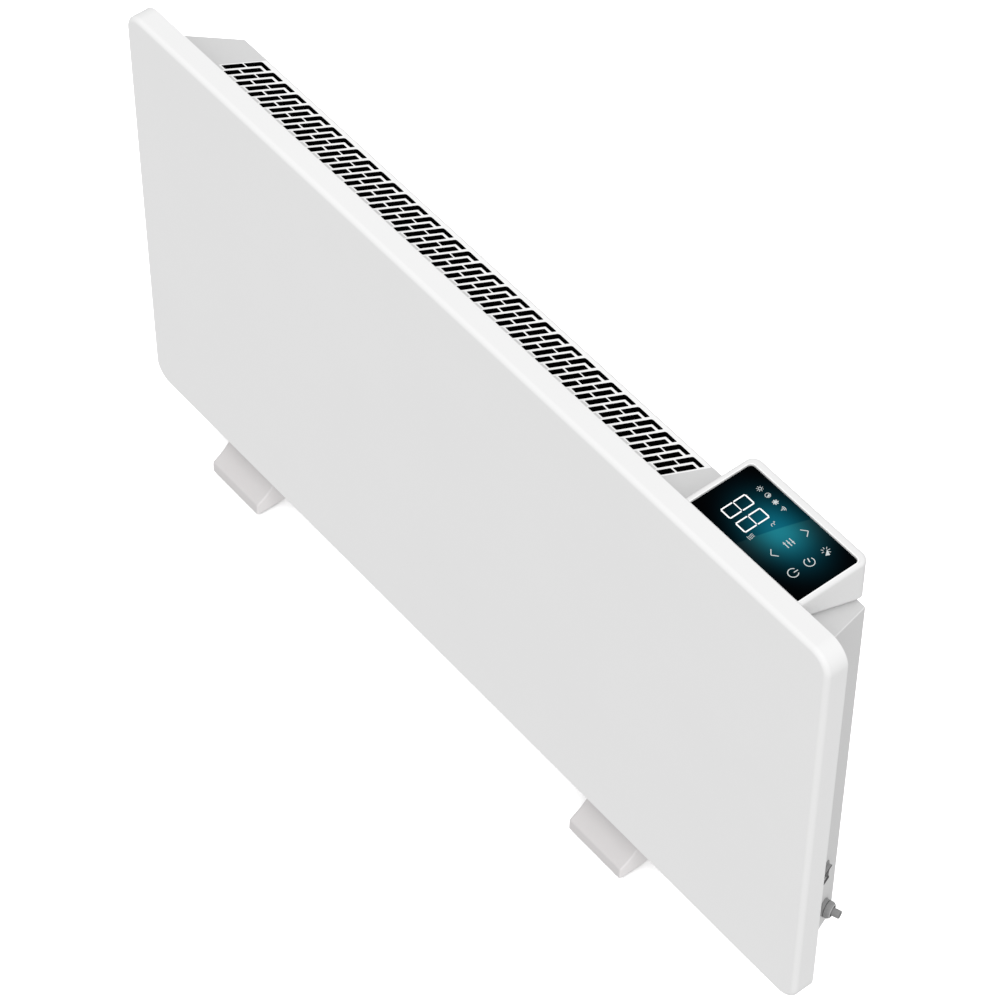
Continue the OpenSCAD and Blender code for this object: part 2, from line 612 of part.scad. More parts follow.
// ------------------------------------------------------------------------ feet
function foot_outline() = [[foot_y0 + 1, 2], [foot_y0, 3.2],
    [foot_y0 + 0.4, 12.4], [foot_y0 + 1.6, 14.4], [-1, 18.6], [4, 23], [8, 27.2],
    [12, 31.8], [15.5, 35.4], [19, 38.4], [23, 40.35], [74, 40.35],
    [80, 37.6], [92, 27.2], [104, 18.6], [foot_y1 - 3, 14.4],
    [foot_y1 - 0.4, 12.4], [foot_y1, 3.2], [foot_y1 - 1, 2]];
module foot(x) translate([0, 0, -pb]) difference() {
    along_x(x - foot_w / 2, x + foot_w / 2) polygon(foot_outline());
    for (y = foot_scr) translate([x, y, 0]) {
        cylinder(d = 5.5, h = 60);
        translate([0, 0, -1]) cylinder(d = 11, h = 21);
    }
}
module foot_left() color([0.95, 0.95, 0.95]) place() foot(foot_xl);
module foot_right() color([0.95, 0.95, 0.95]) place() foot(foot_xr);
module foot_pads() color([0.25, 0.25, 0.25]) place() translate([0, 0, -pb])
    for (x = [foot_xl, foot_xr], y = [foot_y0 + 2, foot_y1 - 24])
        translate([x - foot_w / 2 + 2, y, 0]) cube([foot_w - 4, 22, 2]);
module foot_screws() color(steel) place() translate([0, 0, -pb])
    for (x = [foot_xl, foot_xr], y = foot_scr) translate([x, y, 0]) {
        translate([0, 0, 16]) cylinder(d = 9.5, h = 4);
        translate([0, 0, 18]) cylinder(d = 4.9, h = 29);
    }
module foot_nuts() color(steel) place() translate([0, 0, -pb])
    for (x = [foot_xl, foot_xr], y = foot_scr)
        translate([x, y, 40.4 + case_s + 0.02]) hex_nut(8, 4, 4.95);

front_panel();
heat_shield();
shield_spacers();
rear_case();
outlet_grille();
case_screws();
element_fins();
element_rod();
element_bracket_left();
element_bracket_right();
ceramic_bushes();
element_terminals();
bracket_screws();
thermal_cutout();
cutout_clip();
room_sensor();
sensor_clip();
partition_plate();
power_board();
board_standoffs();
heater_relay();
transformer();
capacitors();
terminal_block();
terminal_screws();
earth_stud();
earth_wire();
neutral_wire();
switch_wires();
element_wires();
sensor_wire();
display_ribbon();
control_base();
base_screws();
board_screws();
bezel_cover();
glass_gasket();
touch_glass();
display_board();
digit_module();
touch_springs();
switch_housing();
rocker_key();
gland_body();
gland_nut();
gland_seal();
gland_locknut();
gland_sleeve();
tilt_housing();
tilt_bob();
foot_left();
foot_right();
foot_pads();
foot_screws();
foot_nuts();
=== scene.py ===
"""Panel convector heater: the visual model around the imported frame."""
import json
import math
import bmesh
import bpy
from mathutils import Matrix, Vector
from mathutils.geometry import tessellate_polygon


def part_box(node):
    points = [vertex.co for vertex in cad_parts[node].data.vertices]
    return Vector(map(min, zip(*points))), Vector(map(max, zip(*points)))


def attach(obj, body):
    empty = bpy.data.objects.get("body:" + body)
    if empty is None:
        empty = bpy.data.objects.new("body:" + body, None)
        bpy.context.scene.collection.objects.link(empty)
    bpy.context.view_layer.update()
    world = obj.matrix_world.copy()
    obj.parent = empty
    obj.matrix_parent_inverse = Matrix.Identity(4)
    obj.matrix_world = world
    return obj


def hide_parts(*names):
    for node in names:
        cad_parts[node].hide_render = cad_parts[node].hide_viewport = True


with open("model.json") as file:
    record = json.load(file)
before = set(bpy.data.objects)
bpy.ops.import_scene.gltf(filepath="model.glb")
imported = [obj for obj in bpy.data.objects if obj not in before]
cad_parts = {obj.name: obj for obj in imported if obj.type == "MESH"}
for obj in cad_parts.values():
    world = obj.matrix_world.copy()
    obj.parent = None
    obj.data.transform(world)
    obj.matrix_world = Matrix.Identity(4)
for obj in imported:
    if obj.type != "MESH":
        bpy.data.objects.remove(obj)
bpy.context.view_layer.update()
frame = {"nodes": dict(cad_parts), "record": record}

# ------------------------------------------------------------------ dimensions
# millimetres in the panel's own frame: panel front y = 0, panel lower edge z = 0
_lo, _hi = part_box("front_panel")
H = round((_hi.z - _lo.z) * 1000, 2)
W2 = 395.0
T, R, ER, SH = 18.6, 18.0, 4.2, 1.2
DC, FH = 53.5, 40.0
TOPZ, HW, CY = H - 19.4, W2 - 22.7, 76.8
SK, TK = 0.373, 0.422
TA, SB = math.atan(TK), math.atan(SK)
GLASS = (232.3, 341.6, 19.9, 75.0)
GZ, BZ = H - 2.8, H - 1.5
BX0, BX1, BY1 = 226.8, 345.5, 82.5
FOLD = 1.5
COLL = bpy.context.scene.collection


def P(p):
    return Vector((p[0], p[1] - DC, p[2] + FH)) * 0.001


def case_top(y):
    return TOPZ - TK * (y - T)


def wall_x(y):
    return HW - SK * (y - T)


# ---------------------------------------------------------------- mesh building
class Build:
    """Collects points and faces in the panel frame, welding equal points."""

    def __init__(self):
        self.v, self.ix, self.f, self.m = [], {}, [], []

    def vert(self, p):
        k = (round(p[0], 4), round(p[1], 4), round(p[2], 4))
        if k not in self.ix:
            self.ix[k] = len(self.v)
            self.v.append(tuple(p))
        return self.ix[k]

    def face(self, pts, m=0):
        ids = []
        for p in pts:
            i = self.vert(p)
            if not ids or ids[-1] != i:
                ids.append(i)
        if len(ids) > 1 and ids[0] == ids[-1]:
            ids.pop()
        if len(set(ids)) == len(ids) and len(ids) > 2:
            self.f.append(ids)
            self.m.append(m)

    def loft(self, loops, m=0, closed=True):
        for k in range(len(loops) - 1):
            a, b = loops[k], loops[k + 1]
            mk = m[k] if isinstance(m, (list, tuple)) else m
            n = len(a)
            for i in range(n if closed else n - 1):
                j = (i + 1) % n
                self.face([a[i], a[j], b[j], b[i]], mk)

    def plate(self, outer, holes=(), m=0):
        if not holes:
            self.face(outer, m)
            return
        loops = [[Vector(p) for p in outer]] + [[Vector(p) for p in h] for h in holes]
        flat = [p for lp in loops for p in lp]
        for t in tessellate_polygon(loops):
            self.face([flat[i] for i in t], m)


def shade(bm, crease):
    """Corner normals: flat areas stay flat, small faces beside them round off."""
    cosc = math.cos(math.radians(crease))
    bm.faces.ensure_lookup_table()
    bm.faces.index_update()
    nor = [f.normal.copy() for f in bm.faces]
    area = [f.calc_area() for f in bm.faces]
    up = list(range(len(nor)))

    def find(i):
        while up[i] != i:
            up[i] = up[up[i]]
            i = up[i]
        return i

    for e in bm.edges:
        if len(e.link_faces) == 2:
            a, b = (f.index for f in e.link_faces)
            if nor[a].dot(nor[b]) > 0.999998:
                up[find(a)] = find(b)
    total, gn = {}, {}
    for i, a in enumerate(area):
        g = find(i)
        total[g] = total.get(g, 0.0) + a
        gn[g] = gn.get(g, Vector((0, 0, 0))) + nor[i] * a
    for g in gn:
        gn[g] = gn[g].normalized() if gn[g].length > 0 else Vector((0, 0, 1))
    corner = {}
    for v in bm.verts:
        left = {f.index: f for f in v.link_faces}
        link = {i: [] for i in left}
        for e in v.link_edges:
            if len(e.link_faces) == 2:
                a, b = (f.index for f in e.link_faces)
                if nor[a].dot(nor[b]) > cosc:
                    link[a].append(b)
                    link[b].append(a)
        seen = set()
        for i in left:
            if i in seen:
                continue
            fan, stack = [], [i]
            seen.add(i)
            while stack:
                k = stack.pop()
                fan.append(k)
                for j in link[k]:
                    if j not in seen:
                        seen.add(j)
                        stack.append(j)
            groups = {find(k) for k in fan}
            top = max(total[g] for g in groups)
            n = Vector((0, 0, 0))
            for g in groups:
                w = total[g] / top if top > 0 else 1.0
                if w > 0.12:
                    n += gn[g] * w
            n = n.normalized() if n.length > 1e-6 else nor[i]
            for k in fan:
                corner[(k, v.index)] = n
    out = []
    for f in bm.faces:
        for lp in f.loops:
            out.append(corner[(f.index, lp.vert.index)])
    return out


def make(b, name, body, mats, replaces=(), crease=40.0, bevel=None):
    """The finished piece: mesh, materials, corner normals, body."""
    me = bpy.data.meshes.new(name)
    bm = bmesh.new()
    vs = [bm.verts.new(P(p)) for p in b.v]
    for ids, m in zip(b.f, b.m):
        try:
            bm.faces.new([vs[i] for i in ids]).material_index = m
        except ValueError:
            pass
    lone = [v for v in bm.verts if not v.link_faces]
    bmesh.ops.delete(bm, geom=lone, context="VERTS")
    bmesh.ops.recalc_face_normals(bm, faces=bm.faces[:])
    if bevel:
        width, seg, angle = bevel
        es = [e for e in bm.edges if len(e.link_faces) == 2
              and e.calc_face_angle(0) > math.radians(angle)]
        bmesh.ops.bevel(bm, geom=es, offset=width * 0.001, offset_type="OFFSET",
                        segments=seg, profile=0.5, affect="EDGES",
                        clamp_overlap=True)
        bmesh.ops.recalc_face_normals(bm, faces=bm.faces[:])
    bm.verts.index_update()
    bm.normal_update()
    normals = shade(bm, crease)
    bm.to_mesh(me)
    bm.free()
    me.shade_smooth()
    me.normals_split_custom_set([n.to_tuple() for n in normals])
    for m in (mats if isinstance(mats, (list, tuple)) else [mats]):
        me.materials.append(m)
    ob = bpy.data.objects.new(name, me)
    COLL.objects.link(ob)
    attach(ob, body)
    if replaces:
        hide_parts(*replaces)
    return ob


def rr(x0, x1, y0, y1, r, n=10, rf=None):
    """Rounded rectangle, anticlockwise, 4 (n + 1) points; rf: radius at y0."""
    f = r if rf is None else rf
    pts = []
    for cx, cy, q, a0 in ((x1 - f, y0 + f, f, -90), (x1 - r, y1 - r, r, 0),
                          (x0 + r, y1 - r, r, 90), (x0 + f, y0 + f, f, 180)):
        for i in range(n + 1):
            a = math.radians(a0 + 90 * i / n)
            pts.append((cx + q * math.cos(a), cy + q * math.sin(a)))
    return pts


def circle(cx, cy, r, n=24):
    return [(cx + r * math.cos(2 * math.pi * i / n),
             cy + r * math.sin(2 * math.pi * i / n)) for i in range(n)]


def round_poly(pts, rad, seg=4):
    """Rounded anticlockwise polygon as (point, outward direction) pairs."""
    out = []
    n = len(pts)
    for i in range(n):
        a, p, c = (Vector(pts[i - 1]), Vector(pts[i]), Vector(pts[(i + 1) % n]))
        r = rad[i] if isinstance(rad, (list, tuple)) else rad
        d0, d1 = (p - a).normalized(), (c - p).normalized()
        n0, n1 = Vector((d0.y, -d0.x)), Vector((d1.y, -d1.x))
        turn = d0.x * d1.y - d0.y * d1.x
        half = math.acos(max(-1, min(1, d0.dot(d1)))) / 2
        if half < 0.01:
            continue
        t = r * math.tan(half)
        s = 1 if turn > 0 else -1
        cen = p - d0 * t - n0 * (r * s)
        for k in range(seg + 1):
            f = k / seg
            ang = 2 * half
            w0 = math.sin((1 - f) * ang) / math.sin(ang)
            w1 = math.sin(f * ang) / math.sin(ang)
            nn = (n0 * w0 + n1 * w1).normalized()
            out.append((cen + nn * (r * s), nn))
    return out


def offset(lp, d):
    return [(p.x + q.x * d, p.y + q.y * d) for p, q in lp]


def arc_steps(n):
    """Quarter turn in n steps as (1 - sin, 1 - cos) pairs."""
    return [(1 - math.sin(math.pi / 2 * i / n), 1 - math.cos(math.pi / 2 * i / n))
            for i in range(n + 1)]


# -------------------------------------------------------------------- materials
def material(name, base, rough, metallic=0.0, vary=0.02, tint=(1, 1, 1), blotch=9.0,
             grain=900.0, grain_h=0.00002, grain_s=0.25, rough_var=0.06, spec=0.5,
             coat=0.0, coat_rough=0.1, stretch=(1, 1, 1), speck=0.0, aniso=0.0,
             sheen=0.0, ior=1.5):
    """Procedural finish: slow colour drift, fine grain in bump and roughness."""
    m = bpy.data.materials.new(name)
    m.use_nodes = True
    nt = m.node_tree
    nt.nodes.clear()
    out = nt.nodes.new("ShaderNodeOutputMaterial")
    bs = nt.nodes.new("ShaderNodeBsdfPrincipled")
    nt.links.new(bs.outputs[0], out.inputs[0])
    bs.inputs["Metallic"].default_value = metallic
    bs.inputs["Specular IOR Level"].default_value = spec
    bs.inputs["IOR"].default_value = ior
    bs.inputs["Coat Weight"].default_value = coat
    bs.inputs["Coat Roughness"].default_value = coat_rough
    bs.inputs["Anisotropic"].default_value = aniso
    bs.inputs["Sheen Weight"].default_value = sheen
    tc = nt.nodes.new("ShaderNodeTexCoord")
    mp = nt.nodes.new("ShaderNodeMapping")
    mp.inputs["Scale"].default_value = stretch
    nt.links.new(tc.outputs["Object"], mp.inputs["Vector"])
    big = nt.nodes.new("ShaderNodeTexNoise")
    big.inputs["Scale"].default_value = blotch
    big.inputs["Detail"].default_value = 3.0
    nt.links.new(tc.outputs["Object"], big.inputs["Vector"])
    fine = nt.nodes.new("ShaderNodeTexNoise")
    fine.inputs["Scale"].default_value = grain
    fine.inputs["Detail"].default_value = 2.0
    nt.links.new(mp.outputs["Vector"], fine.inputs["Vector"])
    lo = tuple(max(0.0, c * (1 - vary) * t) for c, t in zip(base, tint)) + (1,)
    hi = tuple(min(1.0, c * (1 + vary)) for c in base) + (1,)
    mix = nt.nodes.new("ShaderNodeMix")
    mix.data_type = "RGBA"
    mix.inputs["A"].default_value = lo
    mix.inputs["B"].default_value = hi
    rng = nt.nodes.new("ShaderNodeMapRange")
    rng.inputs["From Min"].default_value = 0.3
    rng.inputs["From Max"].default_value = 0.7
    nt.links.new(big.outputs["Fac"], rng.inputs["Value"])
    nt.links.new(rng.outputs["Result"], mix.inputs["Factor"])
    col = mix.outputs["Result"]
    if speck:
        sp = nt.nodes.new("ShaderNodeMix")
        sp.data_type = "RGBA"
        sp.blend_type = "MULTIPLY"
        ramp = nt.nodes.new("ShaderNodeValToRGB")
        ramp.color_ramp.elements[0].position = 0.32
        ramp.color_ramp.elements[0].color = (1 - speck, 1 - speck, 1 - speck, 1)
        ramp.color_ramp.elements[1].position = 0.5
        ramp.color_ramp.elements[1].color = (1, 1, 1, 1)
        nt.links.new(fine.outputs["Fac"], ramp.inputs["Fac"])
        sp.inputs["Factor"].default_value = 1.0
        nt.links.new(col, sp.inputs["A"])
        nt.links.new(ramp.outputs["Color"], sp.inputs["B"])
        col = sp.outputs["Result"]
    nt.links.new(col, bs.inputs["Base Color"])
    rr_ = nt.nodes.new("ShaderNodeMapRange")
    rr_.inputs["From Min"].default_value = 0.3
    rr_.inputs["From Max"].default_value = 0.7
    rr_.inputs["To Min"].default_value = max(0.02, rough - rough_var)
    rr_.inputs["To Max"].default_value = min(1.0, rough + rough_var)
    nt.links.new(fine.outputs["Fac"], rr_.inputs["Value"])
    nt.links.new(rr_.outputs["Result"], bs.inputs["Roughness"])
    bp = nt.nodes.new("ShaderNodeBump")
    bp.inputs["Strength"].default_value = grain_s
    bp.inputs["Distance"].default_value = grain_h
    nt.links.new(fine.outputs["Fac"], bp.inputs["Height"])
    nt.links.new(bp.outputs["Normal"], bs.inputs["Normal"])
    m["fine"] = fine.name
    return m


WHITE = 0.82
M = {
    "panel": material("panel_powder_coat", (WHITE,) * 3, 0.55, vary=0.006, grain=1100,
                      grain_h=0.00002, rough_var=0.07, spec=0.2),
    "case": material("case_powder_coat", (0.69, 0.69, 0.69), 0.5, vary=0.008, grain=1000,
                     grain_h=0.00002, rough_var=0.07, spec=0.25),
    # painted highlight: lighter coat for the middle rows of the top folds
    "fold": material("fold_powder_coat", (0.82, 0.82, 0.82), 0.45, vary=0.008, grain=1000,
                     grain_h=0.00002, rough_var=0.07, spec=0.3),
    # painted highlight: near-white coat for the raised slot field and slot rims
    "lands_highlight": material("slot_field_coat", (0.975, 0.975, 0.975), 0.45, vary=0.004, grain=1300,
                      grain_h=0.000012, spec=0.3),
    # painted shade: near-black coat for the case's inner skin and the slot walls
    "painted_shade": material("inner_dark_coat", (0.004, 0.004, 0.0045), 0.85, vary=0.3, grain=700,
                     grain_h=0.00004, spec=0.0),
    "cover": material("cover_moulding", (0.8, 0.8, 0.8), 0.4, vary=0.006, grain=1500,
                      grain_h=0.000012, spec=0.3),
    # painted highlight: whiter coat for the bead round the glass
    "bead": material("cover_bead", (0.93, 0.93, 0.93), 0.35, vary=0.004, grain=1600,
                     grain_h=0.00001, spec=0.4),
    "base": material("base_moulding", (0.7, 0.7, 0.7), 0.45, vary=0.01, grain=1500,
                     grain_h=0.000016, spec=0.3),
    "foot": material("foot_moulding", (0.74, 0.72, 0.72), 0.42, vary=0.012, blotch=22,
                     grain=1300, grain_h=0.000016, spec=0.3),
    "gland": material("gland_nylon", (0.3, 0.3, 0.302), 0.5, vary=0.05, blotch=60,
                      grain=1800, grain_h=0.00003, rough_var=0.1, spec=0.3),
    # painted highlight: lighter grey for the front edge of the gland nut
    "gland_rim_highlight": material("gland_nut_rim", (0.5, 0.5, 0.502), 0.45, vary=0.05, blotch=60,
                          grain=1800, grain_h=0.00002, rough_var=0.1, spec=0.35),
    "gland_in": material("gland_nut_bore", (0.05, 0.05, 0.05), 0.6, vary=0.1, blotch=60,
                         grain=1500, grain_h=0.00003, spec=0.2),
    "switch": material("switch_plastic", (0.3, 0.3, 0.3), 0.42, vary=0.05, blotch=80,
                       grain=2200, grain_h=0.00002, rough_var=0.08, spec=0.3),
    # painted shade: near-black coat for the rocker key's outer face
    "key": material("switch_key_face", (0.07, 0.07, 0.072), 0.45, vary=0.1, blotch=80,
                    grain=2000, grain_h=0.000012, rough_var=0.06, spec=0.2),
    "mark": material("switch_mark", (0.8, 0.8, 0.8), 0.45, vary=0.03, blotch=200,
                     grain=2400, grain_h=0.00001),
    "screw": material("zinc_screw", (0.66, 0.66, 0.68), 0.32, 1.0, vary=0.05, blotch=150,
                      grain=1600, grain_h=0.00001, rough_var=0.1, speck=0.12),
    "pad": material("pad_rubber", (0.035, 0.035, 0.036), 0.8, vary=0.15, blotch=40,
                    grain=900, grain_h=0.00006, grain_s=0.5),
}


# ------------------------------------------------------------------ front panel
def panel_loop(inset, y, r=None):
    r = R - inset if r is None else r
    return [(u, y, v) for u, v in
            rr(-W2 + inset, W2 - inset, inset, H - inset, r, 14)]


def front_panel():
    b = Build()
    prof = [(ER * p, ER * q) for p, q in arc_steps(10)]
    loops = [panel_loop(i, y) for i, y in prof]
    b.plate(loops[0])
    e = 0.4
    loops += [panel_loop(e * q, T - e * p) for p, q in arc_steps(4)]
    loops += [panel_loop(SH - e * p, T - e * q) for p, q in arc_steps(4)[::-1]]
    loops += [panel_loop(SH, 16.8), panel_loop(11, 16.8, 10), panel_loop(11.15, 16.65, 10),
              panel_loop(11.15, 15.75, 10), panel_loop(11, 15.6, 10), panel_loop(SH, 15.6),
              panel_loop(SH, ER)]
    q = ER - SH
    loops += [panel_loop(SH + q * (1 - math.cos(a)), ER - q * math.sin(a), R - SH - 0.5 * q
                         * (1 - math.cos(a))) for a in
              [math.pi / 2 * k / 5 for k in range(1, 6)]]
    b.loft(loops)
    b.plate(loops[-1])
    return make(b, "panel_shell", "heater", M["panel"], ["front_panel"])


# ------------------------------------------------------------- folded rear case
NT = Vector((0, math.sin(TA), math.cos(TA)))
NR = Vector((math.cos(SB), math.sin(SB), 0))
NL = Vector((-math.cos(SB), math.sin(SB), 0))
NB = Vector((0, 0, -1))
NK = Vector((0, 1, 0))
PLANES = {"T": (NT, NT.dot(Vector((0, T, TOPZ)))), "R": (NR, NR.dot(Vector((HW, T, 0)))),
          "L": (NL, NL.dot(Vector((-HW, T, 0)))), "B": (NB, -0.4), "K": (NK, CY)}


def meet(*names):
    a = Matrix([PLANES[k][0] for k in names])
    d = Vector([PLANES[k][1] - FOLD for k in names])
    return a.inverted() @ d


def slerp(a, c, f):
    w = math.acos(max(-1, min(1, a.dot(c))))
    return (a * math.sin((1 - f) * w) + c * math.sin(f * w)) / math.sin(w)


def to_front(c, d, n, rho, y):
    p = c + n * rho
    return p + d * ((y - p.y) / d.y)


CORNER = {"TR": meet("T", "R", "K"), "TL": meet("T", "L", "K"),
          "BR": meet("B", "R", "K"), "BL": meet("B", "L", "K")}
ALONG = {}
for _k, (_a, _c) in {"TR": (NT, NR), "TL": (NT, NL), "BR": (NB, NR), "BL": (NB, NL)}.items():
    _d = _a.cross(_c).normalized()
    ALONG[_k] = _d if _d.y < 0 else -_d
ARC = 6
YF, YB = 17.0, 18.9          # front ends of the walls and of the bottom


def on_wall(a, c, h, y0, z0):
    """Local frame on the right end wall: a down, c rearwards, h outwards."""
    o = Vector((wall_x(y0), y0, z0))
    return o + Vector((0, 0, -1)) * a + Vector((-math.sin(SB), math.cos(SB), 0)) * c + NR * h


def skin(b, rho, m, pads=0.0):
    """One skin of the case, rho from the fold's centre line. Returns its open edges."""
    h = rho - FOLD
    strips = {}
    for k, na, nc in (("TR", NT, NR), ("TL", NT, NL), ("BR", NB, NR), ("BL", NB, NL)):
        c, d = CORNER[k], ALONG[k]
        rear, front = [], []
        for i in range(ARC + 1):
            n = slerp(na, nc, i / ARC)
            yf = YF if k[0] == "T" else YB
            rear.append(c + n * rho)
            front.append(to_front(c, d, n, rho, yf))
        strips[k] = (rear, front)
        # painted highlight: the middle rows of the outer top folds take the lighter fold material
        light = 1 if k[0] == "T" and h > -0.1 else m
        for lo, hi, mm in ((0, 3, m), (2, 5, light), (4, ARC + 1, m)):
            b.loft([rear[lo:hi], front[lo:hi]], mm, closed=False)
    for k1, k2, n in (("TR", "TL", NT), ("BR", "BL", NB)):
        rows = []
        for i in range(ARC + 1):
            nn = slerp(n, NK, i / ARC) * rho
            rows.append([CORNER[k1] + nn, CORNER[k2] + nn])
        b.loft(rows, m, closed=False)
    for k1, k2, n in (("TR", "BR", NR), ("TL", "BL", NL)):
        rows = []
        for i in range(ARC + 1):
            nn = slerp(n, NK, i / ARC) * rho
            rows.append([CORNER[k1] + nn, CORNER[k2] + nn])
        b.loft(rows, m, closed=False)
    for k, n1, n2 in (("TR", NT, NR), ("TL", NT, NL), ("BR", NB, NR), ("BL", NB, NL)):
        prev = [CORNER[k] + n1 * rho]
        for i in range(1, ARC + 1):
            a, c = slerp(n1, n2, i / ARC), slerp(n1, NK, i / ARC)
            row = [CORNER[k] + (a if j == 0 else c if j == i else slerp(a, c, j / i)) * rho
                   for j in range(i + 1)]
            for j in range(i):
                b.face([row[j], row[j + 1], prev[j]], m)
                if j < i - 1:
                    b.face([row[j + 1], prev[j + 1], prev[j]], m)
            prev = row
    holes = {}
    # end walls, with a step at the front lower corner clear of the panel's rim
    for s, kt, kb in ((1, "TR", "BR"), (-1, "TL", "BL")):
        zt = 2.4
        n = NR if s > 0 else NL
        f_top = strips[kt][1][ARC]
        f_bot = strips[kb][1][ARC]

        def at(y, z, n=n, s=s):
            d = PLANES["R"][1] + h
            return Vector((s * (d - abs(n.y) * y) / abs(n.x), y, z))
        outer = [strips[kt][0][ARC], f_top, at(YF, zt), at(YB, zt), f_bot, strips[kb][0][ARC]]
        hs = []
        if s > 0:
            sw = [on_wall(a, c, h, 55.5, 77.6) for a, c in rr(-9.9, 9.9, -6.6, 6.6, 0.6, 3)]
            gl = [on_wall(a, c, h, 61.3, 28.05) for a, c in circle(0, 0, 6.3, 32)]
            hs = [sw, gl]
        b.plate(outer, hs, m)
        holes[s] = hs
    # bottom
    zb = 0.4 - h
    outer = [strips["BR"][0][0], strips["BR"][1][0], strips["BL"][1][0], strips["BL"][0][0]]
    hs = []
    for x in range(-318, 211, 12):
        if abs(x + 3 + 277) > 36 and abs(x + 3 - 180.5) > 36:
            hs.append([(u, v, zb) for u, v in rr(x, x + 6, 30, 64, 2.9, 5)])
    for x in (-277, 180.5):
        for y in (34, 62):
            hs.append([(u, v, zb) for u, v in circle(x, y, 2.6)])
    b.plate(outer, hs, m)
    holes["B"] = hs
    # rear
    yk = CY + h
    outer = [CORNER[k] + NK * rho for k in ("TR", "TL", "BL", "BR")]
    hs = [[(u, yk, v) for u, v in circle(x, z, 2.6)] for x in (-200, 200) for z in (40, 300)]
    b.plate(outer, hs, m)
    holes["K"] = hs
    ring = list(strips["TR"][1])
    ring += [p for p in [at_edge(1, YF, 2.4, h), at_edge(1, YB, 2.4, h)]]
    ring += strips["BR"][1][::-1] + strips["BL"][1]
    ring += [at_edge(-1, YB, 2.4, h), at_edge(-1, YF, 2.4, h)]
    ring += strips["TL"][1][::-1]
    top = [strips["TR"][1][0], strips["TR"][0][0], strips["TL"][0][0], strips["TL"][1][0]]
    return ring, top, holes


def at_edge(s, y, z, h):
    d = PLANES["R"][1] + h
    return Vector((s * (d - NR.y * y) / NR.x, y, z))


def folded(b, rho_out, rho_in, m_out, m_in):
    ro, to, ho = skin(b, rho_out, m_out)
    ri, ti, hi = skin(b, rho_in, m_in)
    b.loft([ro, ri], m_out, closed=False)
    b.loft([to, ti], m_out, closed=False)
    for k in ho:
        for a, c in zip(ho[k], hi[k]):
            b.loft([a, c], m_out)


def rear_case():
    b = Build()
    folded(b, FOLD, FOLD - 1.0, 0, 0)
    # flange inside the panel's rim
    def fl(inset, y):
        return [(u, y, v) for u, v in rr(-W2 + inset, W2 - inset, inset, H - inset,
                                         R - inset, 14)]
    x1, z0, z1 = HW - 2, 9.0, TOPZ - 2.0
    def op(o, y):
        return [(u, y, v) for u, v in rr(-x1 + o, x1 - o, z0 + o, z1 - o, 1.5, 14)]
    rows = [fl(2.1, 16.8), fl(2.1, 17.75), fl(2.25, 17.9), op(0, 17.9), op(0, 16.8)]
    b.loft(rows + [rows[0]])
    # joggle along the lower edge
    prof = [(17.8, 2.2), (18.9, 2.2), (18.9, 0.4), (20.0, 0.4), (20.0, 3.2), (17.8, 3.2)]
    ends = [[(x, y, z) for y, z in prof] for x in (-371.0, 371.0)]
    b.loft(ends)
    b.plate(ends[0])
    b.plate(ends[1])
    return make(b, "case_shell", "heater", [M["case"], M["fold"]], ["rear_case"])


# painted shade: a near-black inner skin inside the case so that the slots read as dark
def case_liner():
    b = Build()
    folded(b, FOLD - 1.02, FOLD - 1.12, 0, 0)
    return make(b, "case_liner", "heater", M["painted_shade"])


# ---------------------------------------------------------------- slotted outlet
def top_pt(x, s, h=0.0):
    return Vector((x, T + s * math.cos(TA) + h * math.sin(TA),
                   TOPZ - s * math.sin(TA) + h * math.cos(TA)))


GX, SP, SW_, LEAN, COLS = -324.1, 7.34, 4.8, 0.1, 35


def lean(x, s):
    return (x + LEAN * (s - 19.3), s)


def slot_shapes():
    out = []
    for i in range(COLS):
        x = GX + 2 * SP * i
        out.append(([lean(x, 19.3), lean(x + SW_, 19.3), lean(x + SW_, 38.2), lean(x, 38.2)],
                    0.55))
        out.append(([lean(x, 39.8), lean(x + SW_, 39.8), lean(x + SW_, 52.2),
                     lean(x + 11.7, 52.2), lean(x + 11.7, 56.5), lean(x, 56.5)],
                    [0.55, 0.55, 1.0, 0.55, 0.55, 1.6]))
        x += SP
        out.append(([lean(x, 16), lean(x + SW_, 16), lean(x + SW_, 29.2), lean(x, 29.2)],
                    0.55))
        out.append(([lean(x, 31.2), lean(x + SW_, 31.2), lean(x + SW_, 49.2), lean(x, 49.2)],
                    0.55))
    return out


def field_outline():
    m = 1.15
    front = []
    for i in range(COLS):
        x = GX + 2 * SP * i
        front += [(x - m, 19.3 - m), (x + SP - m, 19.3 - m), (x + SP - m, 16 - m),
                  (x + SP + SW_ + m, 16 - m)]
        if i < COLS - 1:
            front.append((x + SP + SW_ + m, 19.3 - m))
    last = GX + 2 * SP * (COLS - 1)
    pts = front + [(last + SP + SW_ + m, 61.3), (GX - m, 61.3)]
    return [lean(x, s) for x, s in pts]


